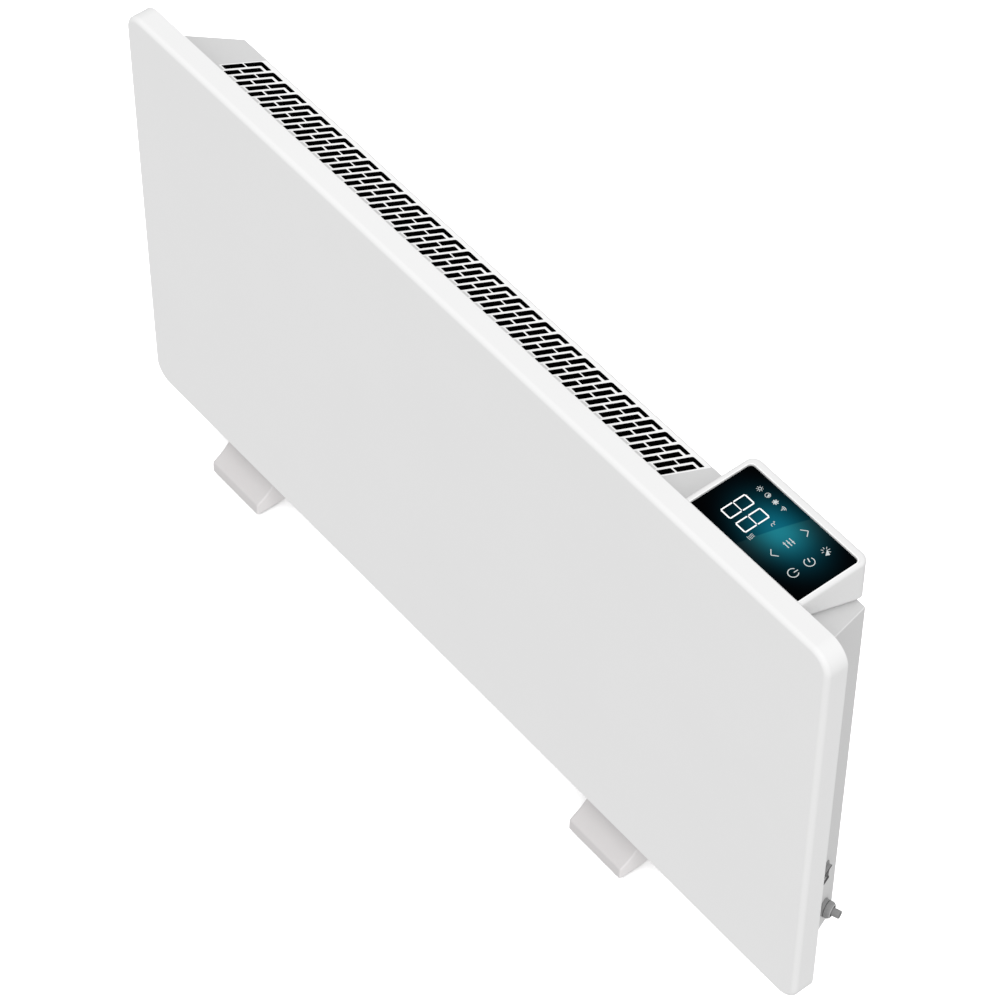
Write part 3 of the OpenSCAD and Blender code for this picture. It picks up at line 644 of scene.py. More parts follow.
def outlet():
    b = Build()
    yo = 17.9
    cr = [to_front(CORNER["TR"], ALONG["TR"], NT, FOLD, yo), CORNER["TR"] + NT * FOLD,
          CORNER["TL"] + NT * FOLD, to_front(CORNER["TL"], ALONG["TL"], NT, FOLD, yo)]
    ci = [p - NT for p in cr]
    fo = round_poly(field_outline(), 0.5, 3)
    up = 0.22
    f0 = [top_pt(x, s, 0) for x, s in offset(fo, 0.30)]
    f1 = [top_pt(x, s, 0.1) for x, s in offset(fo, 0.18)]
    f2 = [top_pt(x, s, 0.19) for x, s in offset(fo, 0.08)]
    f3 = [top_pt(x, s, up) for x, s in offset(fo, -0.05)]
    # the raised field and the rounded slot rims are real; their lighter coat (index 1) is a
    # painted highlight
    b.loft([f0, f1, f2, f3], 1)
    shapes = [round_poly(p, r, 3) for p, r in slot_shapes()]
    w = 0.2
    e = 0.1
    edge = []
    bottoms = []
    for sh in shapes:
        rows = [[top_pt(x, s, up - e * q) for x, s in offset(sh, w + e * p)]
                for p, q in arc_steps(4)]
        b.loft(rows, 1)
        low = [top_pt(x, s, -1.0) for x, s in offset(sh, w)]
        # painted shade: the slot walls are near-black
        b.loft([rows[-1], low], 2)
        edge.append(rows[0])
        bottoms.append(low)
    b.plate(f3, edge, 1)
    cut = [[top_pt(x, s) for x, s in circle(290, 26, 8, 32)]]
    cut += [[top_pt(x, s) for x, s in circle(c, 44, 1.7, 16)] for c in (244, 330)]
    cut_low = [[p - NT for p in c] for c in cut]
    b.plate(cr, [f0] + cut, 0)
    # painted shade: the plate's underside and the walls of the round cut-outs are near-black
    b.plate(ci, bottoms + cut_low, 2)
    b.loft([cr, ci], 0)
    for c, d in zip(cut, cut_low):
        b.loft([c, d], 2)
    return make(b, "outlet_plate", "heater", [M["case"], M["lands_highlight"], M["painted_shade"]],
                ["outlet_grille"], crease=50)


# ------------------------------------------------------------------ control box
def ring(x0, x1, y0, y1, r, z, rf=None):
    """Rounded rectangle at height z, or at a height that depends on the depth."""
    return [(u, v, z(v) if callable(z) else z) for u, v in rr(x0, x1, y0, y1, r, 12, rf)]


def cover():
    b = Build()

    def out(o, z):
        return ring(BX0 + o, BX1 - o, T + 0.4 + 0.1 * o, BY1 - o, 8 - o, z, 1.0)

    def rim(o, z, r):
        return ring(GLASS[0] - o, GLASS[1] + o, GLASS[2] - 0.1 - 0.3 * o, GLASS[3] + o, r,
                    z, 0.85)

    def low(dz):
        return lambda y: case_top(y) + 4.2 + dz
    rows = [out(0.9, low(0.0)), out(0.45, low(0.12)), out(0.12, low(0.45)), out(0, low(0.9))]
    rows += [out(3 * q, BZ - 3 * p) for p, q in arc_steps(9)]
    n_body = len(rows) - 1
    rows += [rim(1.35, BZ, 4.9), rim(1.15, BZ + 0.12, 4.7), rim(0.85, BZ + 0.2, 4.4),
             rim(0.55, BZ + 0.16, 4.1), rim(0.35, BZ + 0.02, 3.9), rim(0.25, BZ - 0.2, 3.8)]
    n_bead = len(rows) - 1
    rows += [rim(0.25, GZ - 2.4, 3.8)]
    win = (GLASS[0] + 4, GLASS[1] - 4, GLASS[2] + 3, GLASS[3] - 4, 2)
    rows += [ring(*win, GZ - 2.4), ring(*win, GZ - 3.8)]
    inn = (BX0 + 2.2, BX1 - 2.2, T + 1.4, BY1 - 2.2, 5.8)
    rows += [ring(*inn, GZ - 3.8, 0.8), ring(*inn, low(0.0), 0.8)]
    # the bead rows take the whiter bead material, a painted highlight
    mats = [0] * (n_body + 1) + [1] * (n_bead - n_body - 1) + [0] * (len(rows) - n_bead)
    b.loft(rows + [rows[0]], mats)
    return make(b, "control_cover", "heater", [M["cover"], M["bead"]],
                ["bezel_cover"])


def base():
    b = Build()

    def out(o, z):
        return ring(BX0 + 2.5 + o, BX1 - 2.5 - o, T + 1.5 + o, BY1 - 2.5 - o, 5.5 - o, z)

    def low(dz):
        return lambda y: case_top(y) + 0.06 + dz
    rows = [out(0.5, low(0)), out(0.15, low(0.1)), out(0, low(0.4)), out(0, H - 17.4),
            out(0.1, H - 17.1), out(0.4, H - 17), out(2, H - 17), out(2, low(2)),
            ]
    b.loft(rows)
    b.plate([(u, v, case_top(v) + 2.06) for u, v, _ in rows[-1]], [], 0)
    b.plate(rows[0], [], 0)
    # lip over the case's rear edge
    x0, x1, y0, y1, z0, z1 = BX0 + 12, BX1 - 12, CY + 0.2, BY1 - 2.6, 352.0, 370.0
    e = 1.2

    def lip(o, y):
        return [(u, y, v) for u, v in rr(x0 + o, x1 - o, z0 + o, z1 - o, 3 - o, 6)]
    rows = [lip(0, y0), lip(0, y1 - e)]
    rows += [lip(e * q, y1 - e * p) for p, q in arc_steps(5)[1:]]
    b.plate(rows[0])
    b.loft(rows)
    b.plate(rows[-1])
    return make(b, "control_base_shell", "heater", M["base"],
                ["control_base"])


def glass():
    b = Build()

    def out(o, z):
        return ring(GLASS[0] + o, GLASS[1] - o, GLASS[2] + o, GLASS[3] - o, 3.5 - o, z,
                    0.8 - o)
    e = 0.22
    rows = [out(e, GZ - 2), out(0, GZ - 2 + e), out(0, GZ - e), out(0.07, GZ - 0.07),
            out(e, GZ)]
    b.plate(rows[0])
    b.loft(rows)
    b.plate(rows[-1])
    return make(b, "glass_plate", "heater", glass_material(),
                ["touch_glass"])


def mathn(nt, op, a, c=None):
    n = nt.nodes.new("ShaderNodeMath")
    n.operation = op
    for i, v in enumerate((a, c)):
        if v is None:
            continue
        if isinstance(v, (int, float)):
            n.inputs[i].default_value = v
        else:
            nt.links.new(v, n.inputs[i])
    return n.outputs[0]


def glass_material():
    """Black printed glass with the teal glow of the lit display behind it, and a painted glare
    reflection.
    """
    m = bpy.data.materials.new("lit_black_glass")
    m.use_nodes = True
    nt = m.node_tree
    nt.nodes.clear()
    out = nt.nodes.new("ShaderNodeOutputMaterial")
    bs = nt.nodes.new("ShaderNodeBsdfPrincipled")
    nt.links.new(bs.outputs[0], out.inputs[0])
    bs.inputs["Specular IOR Level"].default_value = 0.0
    tc = nt.nodes.new("ShaderNodeTexCoord")
    sep = nt.nodes.new("ShaderNodeSeparateXYZ")
    nt.links.new(tc.outputs["Object"], sep.inputs[0])
    x = mathn(nt, "MULTIPLY", sep.outputs["X"], 1000.0)
    y = mathn(nt, "ADD", mathn(nt, "MULTIPLY", sep.outputs["Y"], 1000.0), DC)
    # bell of light round the middle, a little uneven
    u = mathn(nt, "DIVIDE", mathn(nt, "SUBTRACT", x, 288.5), 18.5)
    v = mathn(nt, "DIVIDE", mathn(nt, "SUBTRACT", y, 50.5), 11.8)
    rad = mathn(nt, "ADD", mathn(nt, "MULTIPLY", u, u), mathn(nt, "MULTIPLY", v, v))
    bell = mathn(nt, "POWER", 2.718, mathn(nt, "MULTIPLY", rad, -0.5))
    ns = nt.nodes.new("ShaderNodeTexNoise")
    ns.inputs["Scale"].default_value = 40.0
    nt.links.new(tc.outputs["Object"], ns.inputs["Vector"])
    bell = mathn(nt, "MULTIPLY", bell,
                 mathn(nt, "ADD", mathn(nt, "MULTIPLY", ns.outputs["Fac"], 0.08), 0.96))
    # painted reflection: a lighter glare band is emitted beside an edge that runs from the front
    # edge to the rear edge of the glass, fading away from it
    ex = mathn(nt, "ADD", 274.2, mathn(nt, "ADD", mathn(nt, "MULTIPLY", y, 0.167),
               mathn(nt, "MULTIPLY", mathn(nt, "MULTIPLY", y, y), 0.00132)))
    side = mathn(nt, "SUBTRACT", x, ex)
    step = nt.nodes.new("ShaderNodeMapRange")
    step.inputs["From Min"].default_value = -0.35
    step.inputs["From Max"].default_value = 0.35
    nt.links.new(side, step.inputs["Value"])
    step = step.outputs["Result"]
    fade = nt.nodes.new("ShaderNodeMapRange")
    fade.interpolation_type = "SMOOTHSTEP"
    fade.inputs["From Min"].default_value = 0.0
    fade.inputs["From Max"].default_value = 38.0
    fade.inputs["To Min"].default_value = 1.0
    fade.inputs["To Max"].default_value = 0.0
    nt.links.new(side, fade.inputs["Value"])
    painted_glare = mathn(nt, "MULTIPLY", step, fade.outputs["Result"])
    cols = []
    for k, (teal, reflection_tint) in enumerate(((0.0036, 0.0050), (0.1330, 0.0055), (0.1960, 0.0058))):
        lit = mathn(nt, "MULTIPLY", bell, teal)
        add = mathn(nt, "MULTIPLY", painted_glare,
                    mathn(nt, "ADD", reflection_tint, mathn(nt, "MULTIPLY", bell, (0.004, 0.066, 0.055)[k])))
        cols.append(mathn(nt, "ADD", lit, add))
    comb = nt.nodes.new("ShaderNodeCombineColor")
    for i, c in enumerate(cols):
        nt.links.new(c, comb.inputs[i])
    nt.links.new(comb.outputs[0], bs.inputs["Emission Color"])
    bs.inputs["Emission Strength"].default_value = 1.0
    # printed black with the faintest mottle, finger-smooth surface
    n2 = nt.nodes.new("ShaderNodeTexNoise")
    n2.inputs["Scale"].default_value = 900.0
    nt.links.new(tc.outputs["Object"], n2.inputs["Vector"])
    mix = nt.nodes.new("ShaderNodeMix")
    mix.data_type = "RGBA"
    mix.inputs["A"].default_value = (0.0004, 0.0005, 0.0006, 1)
    mix.inputs["B"].default_value = (0.0011, 0.0012, 0.0015, 1)
    nt.links.new(n2.outputs["Fac"], mix.inputs["Factor"])
    nt.links.new(mix.outputs["Result"], bs.inputs["Base Color"])
    ro = nt.nodes.new("ShaderNodeMapRange")
    ro.inputs["To Min"].default_value = 0.06
    ro.inputs["To Max"].default_value = 0.11
    nt.links.new(ns.outputs["Fac"], ro.inputs["Value"])
    nt.links.new(ro.outputs["Result"], bs.inputs["Roughness"])
    return m


def lit(name, level, tint=(1, 1, 1)):
    """Lit symbol on the display: a soft grain breaks up the light."""
    m = material(name, (0.25 * level,) * 3, 0.5, vary=0.05, blotch=300, grain=3000,
                 grain_h=0.000004, spec=0.1)
    nt = m.node_tree
    bs = next(n for n in nt.nodes if n.type == "BSDF_PRINCIPLED")
    ns = nt.nodes.new("ShaderNodeTexNoise")
    ns.inputs["Scale"].default_value = 700.0
    tc = next(n for n in nt.nodes if n.type == "TEX_COORD")
    nt.links.new(tc.outputs["Object"], ns.inputs["Vector"])
    mix = nt.nodes.new("ShaderNodeMix")
    mix.data_type = "RGBA"
    mix.inputs["A"].default_value = tuple(level * 0.86 * t for t in tint) + (1,)
    mix.inputs["B"].default_value = tuple(level * 1.1 * t for t in tint) + (1,)
    nt.links.new(ns.outputs["Fac"], mix.inputs["Factor"])
    nt.links.new(mix.outputs["Result"], bs.inputs["Emission Color"])
    bs.inputs["Emission Strength"].default_value = 1.0
    return m


Z0, Z1 = GZ + 0.01, GZ + 0.05


def solid(b, pts, m=0):
    lo = [(x, y, Z0) for x, y in pts]
    hi = [(x, y, Z1) for x, y in pts]
    b.plate(lo, [], m)
    b.loft([lo, hi], m)
    b.plate(hi, [], m)


def bar(b, p, q, w, cut=0.0, m=0):
    """Stroke from p to q; cut shortens its corners to points as on segment digits."""
    d = Vector((q[0] - p[0], q[1] - p[1]))
    length = d.length
    d.normalize()
    n = Vector((-d.y, d.x)) * w / 2
    p, q = Vector(p), Vector(q)
    if cut:
        pts = [p - n + d * cut, q - n - d * cut, q, q + n - d * cut, p + n + d * cut, p]
    else:
        k = w * 0.25
        pts = [p - n + d * k, q - n - d * k, q - n * 0.5, q + n * 0.5, q + n - d * k,
               p + n + d * k, p + n * 0.5, p - n * 0.5]
    solid(b, [(v.x, v.y) for v in pts], m)
    return length


def arc(b, c, r, w, a0, a1, n=20, m=0):
    """Open or closed ring stroke, angles in degrees."""
    full = abs(a1 - a0) >= 359.9
    k = n if full else n + 1
    ang = [math.radians(a0 + (a1 - a0) * i / n) for i in range(k)]
    inner = [(c[0] + (r - w / 2) * math.cos(a), c[1] + (r - w / 2) * math.sin(a)) for a in ang]
    outer = [(c[0] + (r + w / 2) * math.cos(a), c[1] + (r + w / 2) * math.sin(a)) for a in ang]
    if full:
        rows = [[(x, y, z) for x, y in lp] for lp, z in
                ((inner, Z0), (outer, Z0), (outer, Z1), (inner, Z1), (inner, Z0))]
        b.loft(rows, m)
    else:
        solid_strip(b, inner, outer, m)


def solid_strip(b, a, c, m=0):
    n = len(a)
    rows = [[(x, y, z) for x, y in lp] for lp, z in
            ((a, Z0), (c, Z0), (c, Z1), (a, Z1), (a, Z0))]
    b.loft(rows, m, closed=False)
    for i in (0, n - 1):
        b.face([rows[0][i], rows[1][i], rows[2][i], rows[3][i]], m)


def digits():
    b = Build()
    for x0, x1 in ((249.2, 260.0), (264.6, 275.4)):
        y0, y1 = 31.6, 54.2
        ym = (y0 + y1) / 2
        w, g = 1.08, 0.5
        for xx in (x0 + w / 2, x1 - w / 2):
            bar(b, (xx, y0 + g), (xx, ym - g), w, 0.35)
            bar(b, (xx, ym + g), (xx, y1 - g), w, 0.35)
        for yy, ww in ((y0 + w / 2, w), (ym, 0.75), (y1 - w / 2, w)):
            bar(b, (x0 + g + 0.3, yy), (x1 - g - 0.3, yy), ww, 0.35)
    return make(b, "display_digits", "heater", lit("lit_digit", 0.93))


def icons():
    b = Build()
    # degree sign and C
    arc(b, (280.2, 53.2), 0.5, 0.35, 0, 360, 14)
    arc(b, (281.7, 51.0), 1.2, 0.5, 50, 310, 14)
    # warm-air waves
    for k in (-1.3, 0, 1.3):
        a, c = [], []
        for i in range(9):
            t = i / 8
            x = 280.1 + k + 0.35 * math.sin(t * 2 * math.pi)
            yy = 31.2 + 4.0 * t
            a.append((x - 0.2, yy))
            c.append((x + 0.2, yy))
        solid_strip(b, a, c)
    bar(b, (278.2, 30.5), (282.0, 30.5), 0.4)
    # sun
    arc(b, (252.3, 65.0), 1.15, 0.45, 0, 360, 18)
    for i in range(8):
        t = math.radians(45 * i)
        bar(b, (252.3 + 1.8 * math.cos(t), 65 + 1.8 * math.sin(t)),
            (252.3 + 2.6 * math.cos(t), 65 + 2.6 * math.sin(t)), 0.42)
    # half-filled disc
    arc(b, (260.0, 65.4), 1.95, 0.42, 0, 360, 22)
    solid(b, [(260.0 + 1.35 * math.cos(math.radians(a)), 65.4 + 1.35 * math.sin(math.radians(a)))
              for a in range(-70, 111, 15)])
    # fan
    arc(b, (267.8, 65.4), 0.6, 1.2, 0, 360, 14)
    for i in range(7):
        t = math.radians(360 / 7 * i + 10)
        bar(b, (267.8 + 1.2 * math.cos(t), 65.4 + 1.2 * math.sin(t)),
            (267.8 + 2.3 * math.cos(t + 0.3), 65.4 + 2.3 * math.sin(t + 0.3)), 0.85)
    # radio waves
    for r in (1.0, 2.1, 3.2):
        arc(b, (275.6, 63.9), r, 0.55, 48, 132, 10)
    solid(b, [(275.6 + 0.4 * math.cos(math.radians(a)), 63.9 + 0.4 * math.sin(math.radians(a)))
              for a in range(0, 360, 30)])
    # up and down
    for pts in (((296.3, 62.4), (300.5, 66.0), (303.8, 62.0)),
                ((296.6, 36.0), (300.5, 32.7), (304.5, 36.2))):
        bar(b, pts[0], pts[1], 0.66)
        bar(b, pts[1], pts[2], 0.66)
    # heat levels: three bars with hooks
    for k, yy in enumerate((46.2, 49.0, 51.7)):
        bar(b, (297.2, yy), (303.4, yy), 0.75)
        bar(b, (298.6 + 1.3 * k, yy - 0.9), (298.6 + 1.3 * k, yy + 0.9), 0.75)
    # power
    arc(b, (321.15, 34.2), 3.7, 0.68, 125, 415, 30)
    bar(b, (321.15, 34.8), (321.25, 38.5), 0.7)
    # timer
    arc(b, (321.0, 48.9), 3.7, 0.68, 195, 480, 30)
    bar(b, (321.3, 49.0), (317.8, 50.0), 0.85)
    # light with a pointer
    for i in range(6):
        t = math.radians(35 + 46 * i)
        bar(b, (320.7 + 1.7 * math.cos(t), 63.8 + 1.7 * math.sin(t)),
            (320.7 + 3.5 * math.cos(t), 63.8 + 3.5 * math.sin(t)), 0.48)
    solid(b, [(320.2, 65.3), (323.7, 60.8), (325.1, 63.7)])
    return make(b, "display_icons", "heater", lit("lit_icon", 0.54, (0.93, 1.0, 1.0)))


# ---------------------------------------------------------------- side fittings
def spin(f, profile, n, shape=None):
    """Loops of a turned part: f places (a, c, height); shape(angle, k) scales the radius."""
    rows = []
    for k, (r, h) in enumerate(profile):
        row = []
        for i in range(n):
            t = 2 * math.pi * i / n
            q = shape(t, k) if shape else 1.0
            row.append(f(r * q * math.cos(t), r * q * math.sin(t), h))
        rows.append(row)
    return rows


SWY, SWZ = 55.5, 77.6


def switch_frame():
    b = Build()

    def f(a, c, h):
        return on_wall(a, c, h, SWY, SWZ)

    def lp(o, h, r=1.2):
        return [f(a, c, h) for a, c in rr(-10.3 + o, 10.3 - o, -7.2 + o, 7.2 - o, r, 6)]

    def well(o, h, r=0.6):
        return [f(a, c, h) for a, c in rr(-9.3 - o, 9.3 + o, -5.85 - o, 5.85 + o, r, 6)]

    def body(o, h, r=0.7):
        return [f(a, c, h) for a, c in rr(-9.75 + o, 9.75 - o, -6.45 + o, 6.45 - o, r, 6)]
    e = 0.5
    rows = [body(0.4, -13.5), body(0, -13.1), body(0, 0.02), lp(0.12, 0.02, 1.1), lp(0, 0.15),
            lp(0, 1.2 - e)]
    rows += [lp(e * q, 1.2 - e * p, 1.2 - e * q) for p, q in arc_steps(4)[1:]]
    rows += [well(0.25, 1.2, 0.8), well(0.07, 1.13, 0.65), well(0, 0.95), well(0, -9.5)]
    b.plate(rows[0])
    b.loft(rows)
    b.plate(rows[-1])
    for s in (-4.5, 4.5):
        q = [[f(a, c, h) for a, c in rr(s - 2.4 + o, s + 2.4 - o, -0.4, 0.4, 0.15, 3)]
             for o, h in ((0, -13.4), (0, -19.5), (0.7, -20.5))]
        b.plate(q[0])
        b.loft(q)
        b.plate(q[-1])
    return make(b, "switch_frame", "heater", M["switch"],
                ["switch_housing"])


def rocker():
    tilt = math.radians(5)

    def f(a, c, h):
        a2 = a * math.cos(tilt) + h * math.sin(tilt)
        h2 = -a * math.sin(tilt) + h * math.cos(tilt)
        return on_wall(a2, c, h2 - 2, SWY, SWZ)
    half = [(0.0, 4.35), (1.8, 4.36), (3.5, 4.45), (5.2, 4.56), (6.6, 4.75), (6.95, 4.95),
            (7.3, 5.25), (7.6, 5.37), (8.0, 5.44), (8.4, 5.44), (8.72, 5.28), (8.9, 5.0)]
    top = [(-x, z) for x, z in half[::-1]] + half[1:]
    low = [(8.9, 2.6), (8.9, 0.5), (3.5, -5.2), (-3.5, -5.2), (-8.9, 0.5), (-8.9, 2.6)]
    out = top + low
    cen = (0.0, 1.2)
    e = 0.4

    def at(o, c):
        row = []
        for x, z in out:
            k = 1 - o / math.hypot(x - cen[0], z - cen[1])
            row.append(f(cen[0] + (x - cen[0]) * k, c, cen[1] + (z - cen[1]) * k))
        return row
    b = Build()
    rows = [at(e * q, -5.6 + e * p) for p, q in arc_steps(4)[::-1]]
    rows += [at(e * q, 5.6 - e * p) for p, q in arc_steps(4)]
    b.plate(rows[0])
    n = len(out)
    nt = len(top)
    for k in range(len(rows) - 1):
        for i in range(n):
            j = (i + 1) % n
            # painted shade: the outer face along the top profile takes the near-black key
            # material
            face = 1 if i < nt - 1 else 0
            b.face([rows[k][i], rows[k][j], rows[k + 1][j], rows[k + 1][i]], face)
    b.plate(rows[-1])
    # pivot pins
    for s in (-1, 1):
        pr = [(1.1, s * 5.5), (1.1, s * 6.25), (0.95, s * 6.35)]
        q = [[f(r * math.cos(t), h, r * math.sin(t)) for t in
              [2 * math.pi * i / 20 for i in range(20)]] for r, h in pr]
        b.plate(q[0])
        b.loft(q)
        b.plate(q[-1])
    ob = make(b, "rocker_cap", "rocker", [M["switch"], M["key"]],
              ["rocker_key"], crease=32)
    # raised marks of the two positions: a bar and a ring
    b = Build()

    def g(x0, a, c, h):
        z = 4.45 + 0.022 * (abs(x0 + a) - 3.5) * 2
        return f(x0 + a, c, z + h)
    lo = [g(-3.6, u, v, -0.1) for u, v in rr(-1.3, 1.3, -0.25, 0.25, 0.18, 3)]
    hi = [g(-3.6, u, v, 0.1) for u, v in rr(-1.3, 1.3, -0.25, 0.25, 0.18, 3)]
    b.plate(lo)
    b.loft([lo, hi])
    b.plate(hi)
    rows = []
    for r, h in ((0.9, -0.1), (1.35, -0.1), (1.35, 0.1), (0.9, 0.1), (0.9, -0.1)):
        rows.append([g(3.6, u, v, h) for u, v in circle(0, 0, r, 24)])
    b.loft(rows)
    marks = make(b, "rocker_marks", "rocker", M["mark"])
    return ob, marks


def gland():
    def f(a, c, h):
        return on_wall(a, c, h, 61.3, 28.05)

    def hexa(t, k):
        if k not in (2, 3, 4, 5):
            return 1.0
        u = (t + math.pi / 6) % (math.pi / 3) - math.pi / 6
        flat = 6.8 / math.cos(u)
        return min(flat, 7.75 if k in (2, 5) else 7.82) / 7.85
    b = Build()
    pr = [(6.0, -9.0), (6.0, -0.0), (7.3, 0.0), (7.5, 0.15), (7.5, 0.8), (7.35, 0.95),
          (5.3, 0.95), (5.3, 6.3), (4.5, 6.4), (4.5, 3.0), (3.6, 3.0), (3.6, -9.0)]
    rows = spin(f, pr, 60)
    b.loft(rows + [rows[0]])
    hx = [(5.35, 0.92), (7.2, 0.92), (7.85, 1.2), (7.85, 1.25), (7.85, 2.8), (7.85, 2.85),
          (7.2, 3.1), (5.35, 3.1)]
    rows = spin(f, hx, 60, hexa)
    b.loft(rows + [rows[0]])
    body = make(b, "gland_base", "heater", M["gland"], ["gland_body"],
                crease=30)

    def ribs(t, k):
        if not 2 <= k <= 5:
            return 1.0
        u = (t * 12 / (2 * math.pi) + 0.5) % 1.0
        bump = max(0.0, math.cos((u - 0.5) * 2 * math.pi)) ** 0.6
        return 1.0 + (0.05 if k in (3, 4) else 0.03) * bump
    b = Build()
    pr = [(5.5, 3.3), (6.35, 3.3), (6.5, 3.45), (6.6, 3.8), (6.6, 6.2), (6.5, 6.6),
          (6.3, 7.1), (6.1, 7.5), (5.85, 7.9), (5.55, 8.15), (5.2, 8.28), (4.55, 8.3),
          (4.3, 8.2), (4.2, 7.95), (4.2, 6.7), (5.45, 6.7)]
    rows = spin(f, pr, 96, ribs)
    # rows 8 to 11 take the lighter rim grey, a painted highlight; the last rows are the black
    # bore
    b.loft(rows + [rows[0]], [0] * 8 + [2] * 4 + [1] * 4)
    nut = make(b, "gland_cap", "heater", [M["gland"], M["gland_in"], M["gland_rim_highlight"]],
               ["gland_nut"], crease=35)
    b = Build()
    pr = [(2.5, 3.1), (3.28, 3.1), (3.28, 14.2), (3.2, 14.4), (3.02, 14.5), (2.7, 14.5),
          (2.55, 14.42), (2.5, 14.25)]
    rows = spin(f, pr, 40)
    b.loft(rows + [rows[0]])
    tube = make(b, "gland_tube", "heater", M["gland"], ["gland_sleeve"],
                crease=40)
    return body, nut, tube


# ------------------------------------------------------------------------- feet
def foot(name, node, x):
    b = Build()
    y0, y1 = -9.5, 116.5
    line = [(y0 + 1.8, 2), (y0 + 0.53, 2.53), (y0, 3.8), (y0 + 0.4, 12.4), (y0 + 0.85, 13.6),
            (y0 + 1.8, 14.55), (-4.4, 16.45), (-1, 18.6), (1.6, 20.75), (4, 23), (6, 25.05),
            (8, 27.2), (10, 29.5), (12, 31.8), (13.8, 33.7), (15.5, 35.4), (17.2, 37.0),
            (19, 38.4), (20.9, 39.6), (23, 40.3), (24.2, 40.35), (73, 40.35), (74.4, 40.2),
            (80, 37.6), (86, 32.4), (92, 27.2), (98, 22.9), (104, 18.6), (109, 16.3),
            (y1 - 3.4, 14.5), (y1 - 1.3, 13.6), (y1 - 0.4, 11.9), (y1, 3.8),
            (y1 - 0.53, 2.53), (y1 - 1.8, 2)]
    cen = (54.0, 14.0)
    hw = 30.5
    e = 1.6

    def at(o, xx):
        """Outline drawn in by o, with its side at xx."""
        n = len(line)
        row = []
        for i, (y, z) in enumerate(line):
            a, c = Vector(line[i - 1]), Vector(line[(i + 1) % n])
            d = (c - a).normalized()
            nn = Vector((-d.y, d.x))
            if nn.dot(Vector(cen) - Vector((y, z))) < 0:
                nn = -nn
            row.append((xx, y + nn.x * o, z - FH + nn.y * o))
        return row
    rows = [at(e * q, x - hw + e * p) for p, q in arc_steps(5)[::-1]]
    rows += [at(e * q, x + hw - e * p) for p, q in arc_steps(5)]
    b.plate(rows[0])
    b.plate(rows[-1])
    n = len(line)
    top_i, bot_i = 20, n - 1       # the flat top and the sole get the screw bores
    for k in range(len(rows) - 1):
        for i in range(n):
            j = (i + 1) % n
            if k == 5 and i in (top_i, bot_i):
                continue
            b.face([rows[k][i], rows[k][j], rows[k + 1][j], rows[k + 1][i]])
    zt, zb = 40.35 - FH, 2 - FH
    tops = [[(u, v, zt) for u, v in circle(x, y, 2.75, 24)] for y in (34, 62)]
    bots = [[(u, v, zb) for u, v in circle(x, y, 5.5, 24)] for y in (34, 62)]
    k = 5
    b.plate([rows[k][top_i], rows[k][top_i + 1], rows[k + 1][top_i + 1], rows[k + 1][top_i]],
            tops)
    b.plate([rows[k][bot_i], rows[k][0], rows[k + 1][0], rows[k + 1][bot_i]], bots)
    for y, tp, bt in zip((34, 62), tops, bots):
        seat = 20 - FH
        b.loft([bt, [(u, v, seat) for u, v in circle(x, y, 5.5, 24)],
                [(u, v, seat) for u, v in circle(x, y, 2.75, 24)], tp])
    return make(b, name, "heater", M["foot"], [node], crease=32)


def pads():
    b = Build()
    for x in (-277, 180.5):
        for y in (-7.5, 92.5):
            def lp(o, z):
                return [(u, v, z - FH) for u, v in
                        rr(x - 28.5 + o, x + 28.5 - o, y + o, y + 22 - o, 2.5 - o, 5)]
            rows = [lp(0.3, 0), lp(0, 0.3), lp(0, 2.0)]
            b.plate(rows[0])
            b.loft(rows)
            b.plate(rows[-1])
    return make(b, "foot_soles", "heater", M["pad"], ["foot_pads"])


def screws():
    b = Build()
    spots = [(x, H - 7.5) for x in (-330, -110, 110)]
    spots += [(s * (W2 - 7.8), z) for s in (-1, 1) for z in (30, 200, 370)]
    for sx, sz in spots:
        turn = math.radians((sx * 7 + sz * 3) % 90)

        def f(a, c, h):
            return (sx + a * math.cos(turn) - c * math.sin(turn), 17.95 + h,
                    sz + a * math.sin(turn) + c * math.cos(turn))
        pr = [(1.6, -4.0), (1.6, 0.0), (3.15, 0.0), (3.2, 0.08), (3.15, 0.22), (2.9, 0.36),
              (2.4, 0.46), (2.1, 0.49)]
        rows = spin(f, pr, 32)
        b.plate(rows[0])
        b.loft(rows)
        w, q = 0.32, 1.45
        cross = [(w, q), (-w, q), (-w, w), (-q, w), (-q, -w), (-w, -w), (-w, -q), (w, -q),
                 (w, -w), (q, -w), (q, w), (w, w)]
        hi = [f(a, c, 0.49) for a, c in cross]
        mid = [f(a * 0.9, c * 0.9, 0.1) for a, c in cross]
        b.plate(rows[-1], [hi])
        b.loft([hi, mid])
        b.plate(mid)
    return make(b, "flange_screws", "heater", M["screw"], ["case_screws"],
                crease=35)


panel = front_panel()
case = rear_case()
liner = case_liner()
slots = outlet()
box = cover()
under = base()
pane = glass()
num = digits()
ico = icons()
frame_sw = switch_frame()
key, key_marks = rocker()
g_body, g_nut, g_tube = gland()
foot_l = foot("foot_left_shell", "foot_left", -277)
foot_r = foot("foot_right_shell", "foot_right", 180.5)
soles = pads()
heads = screws()

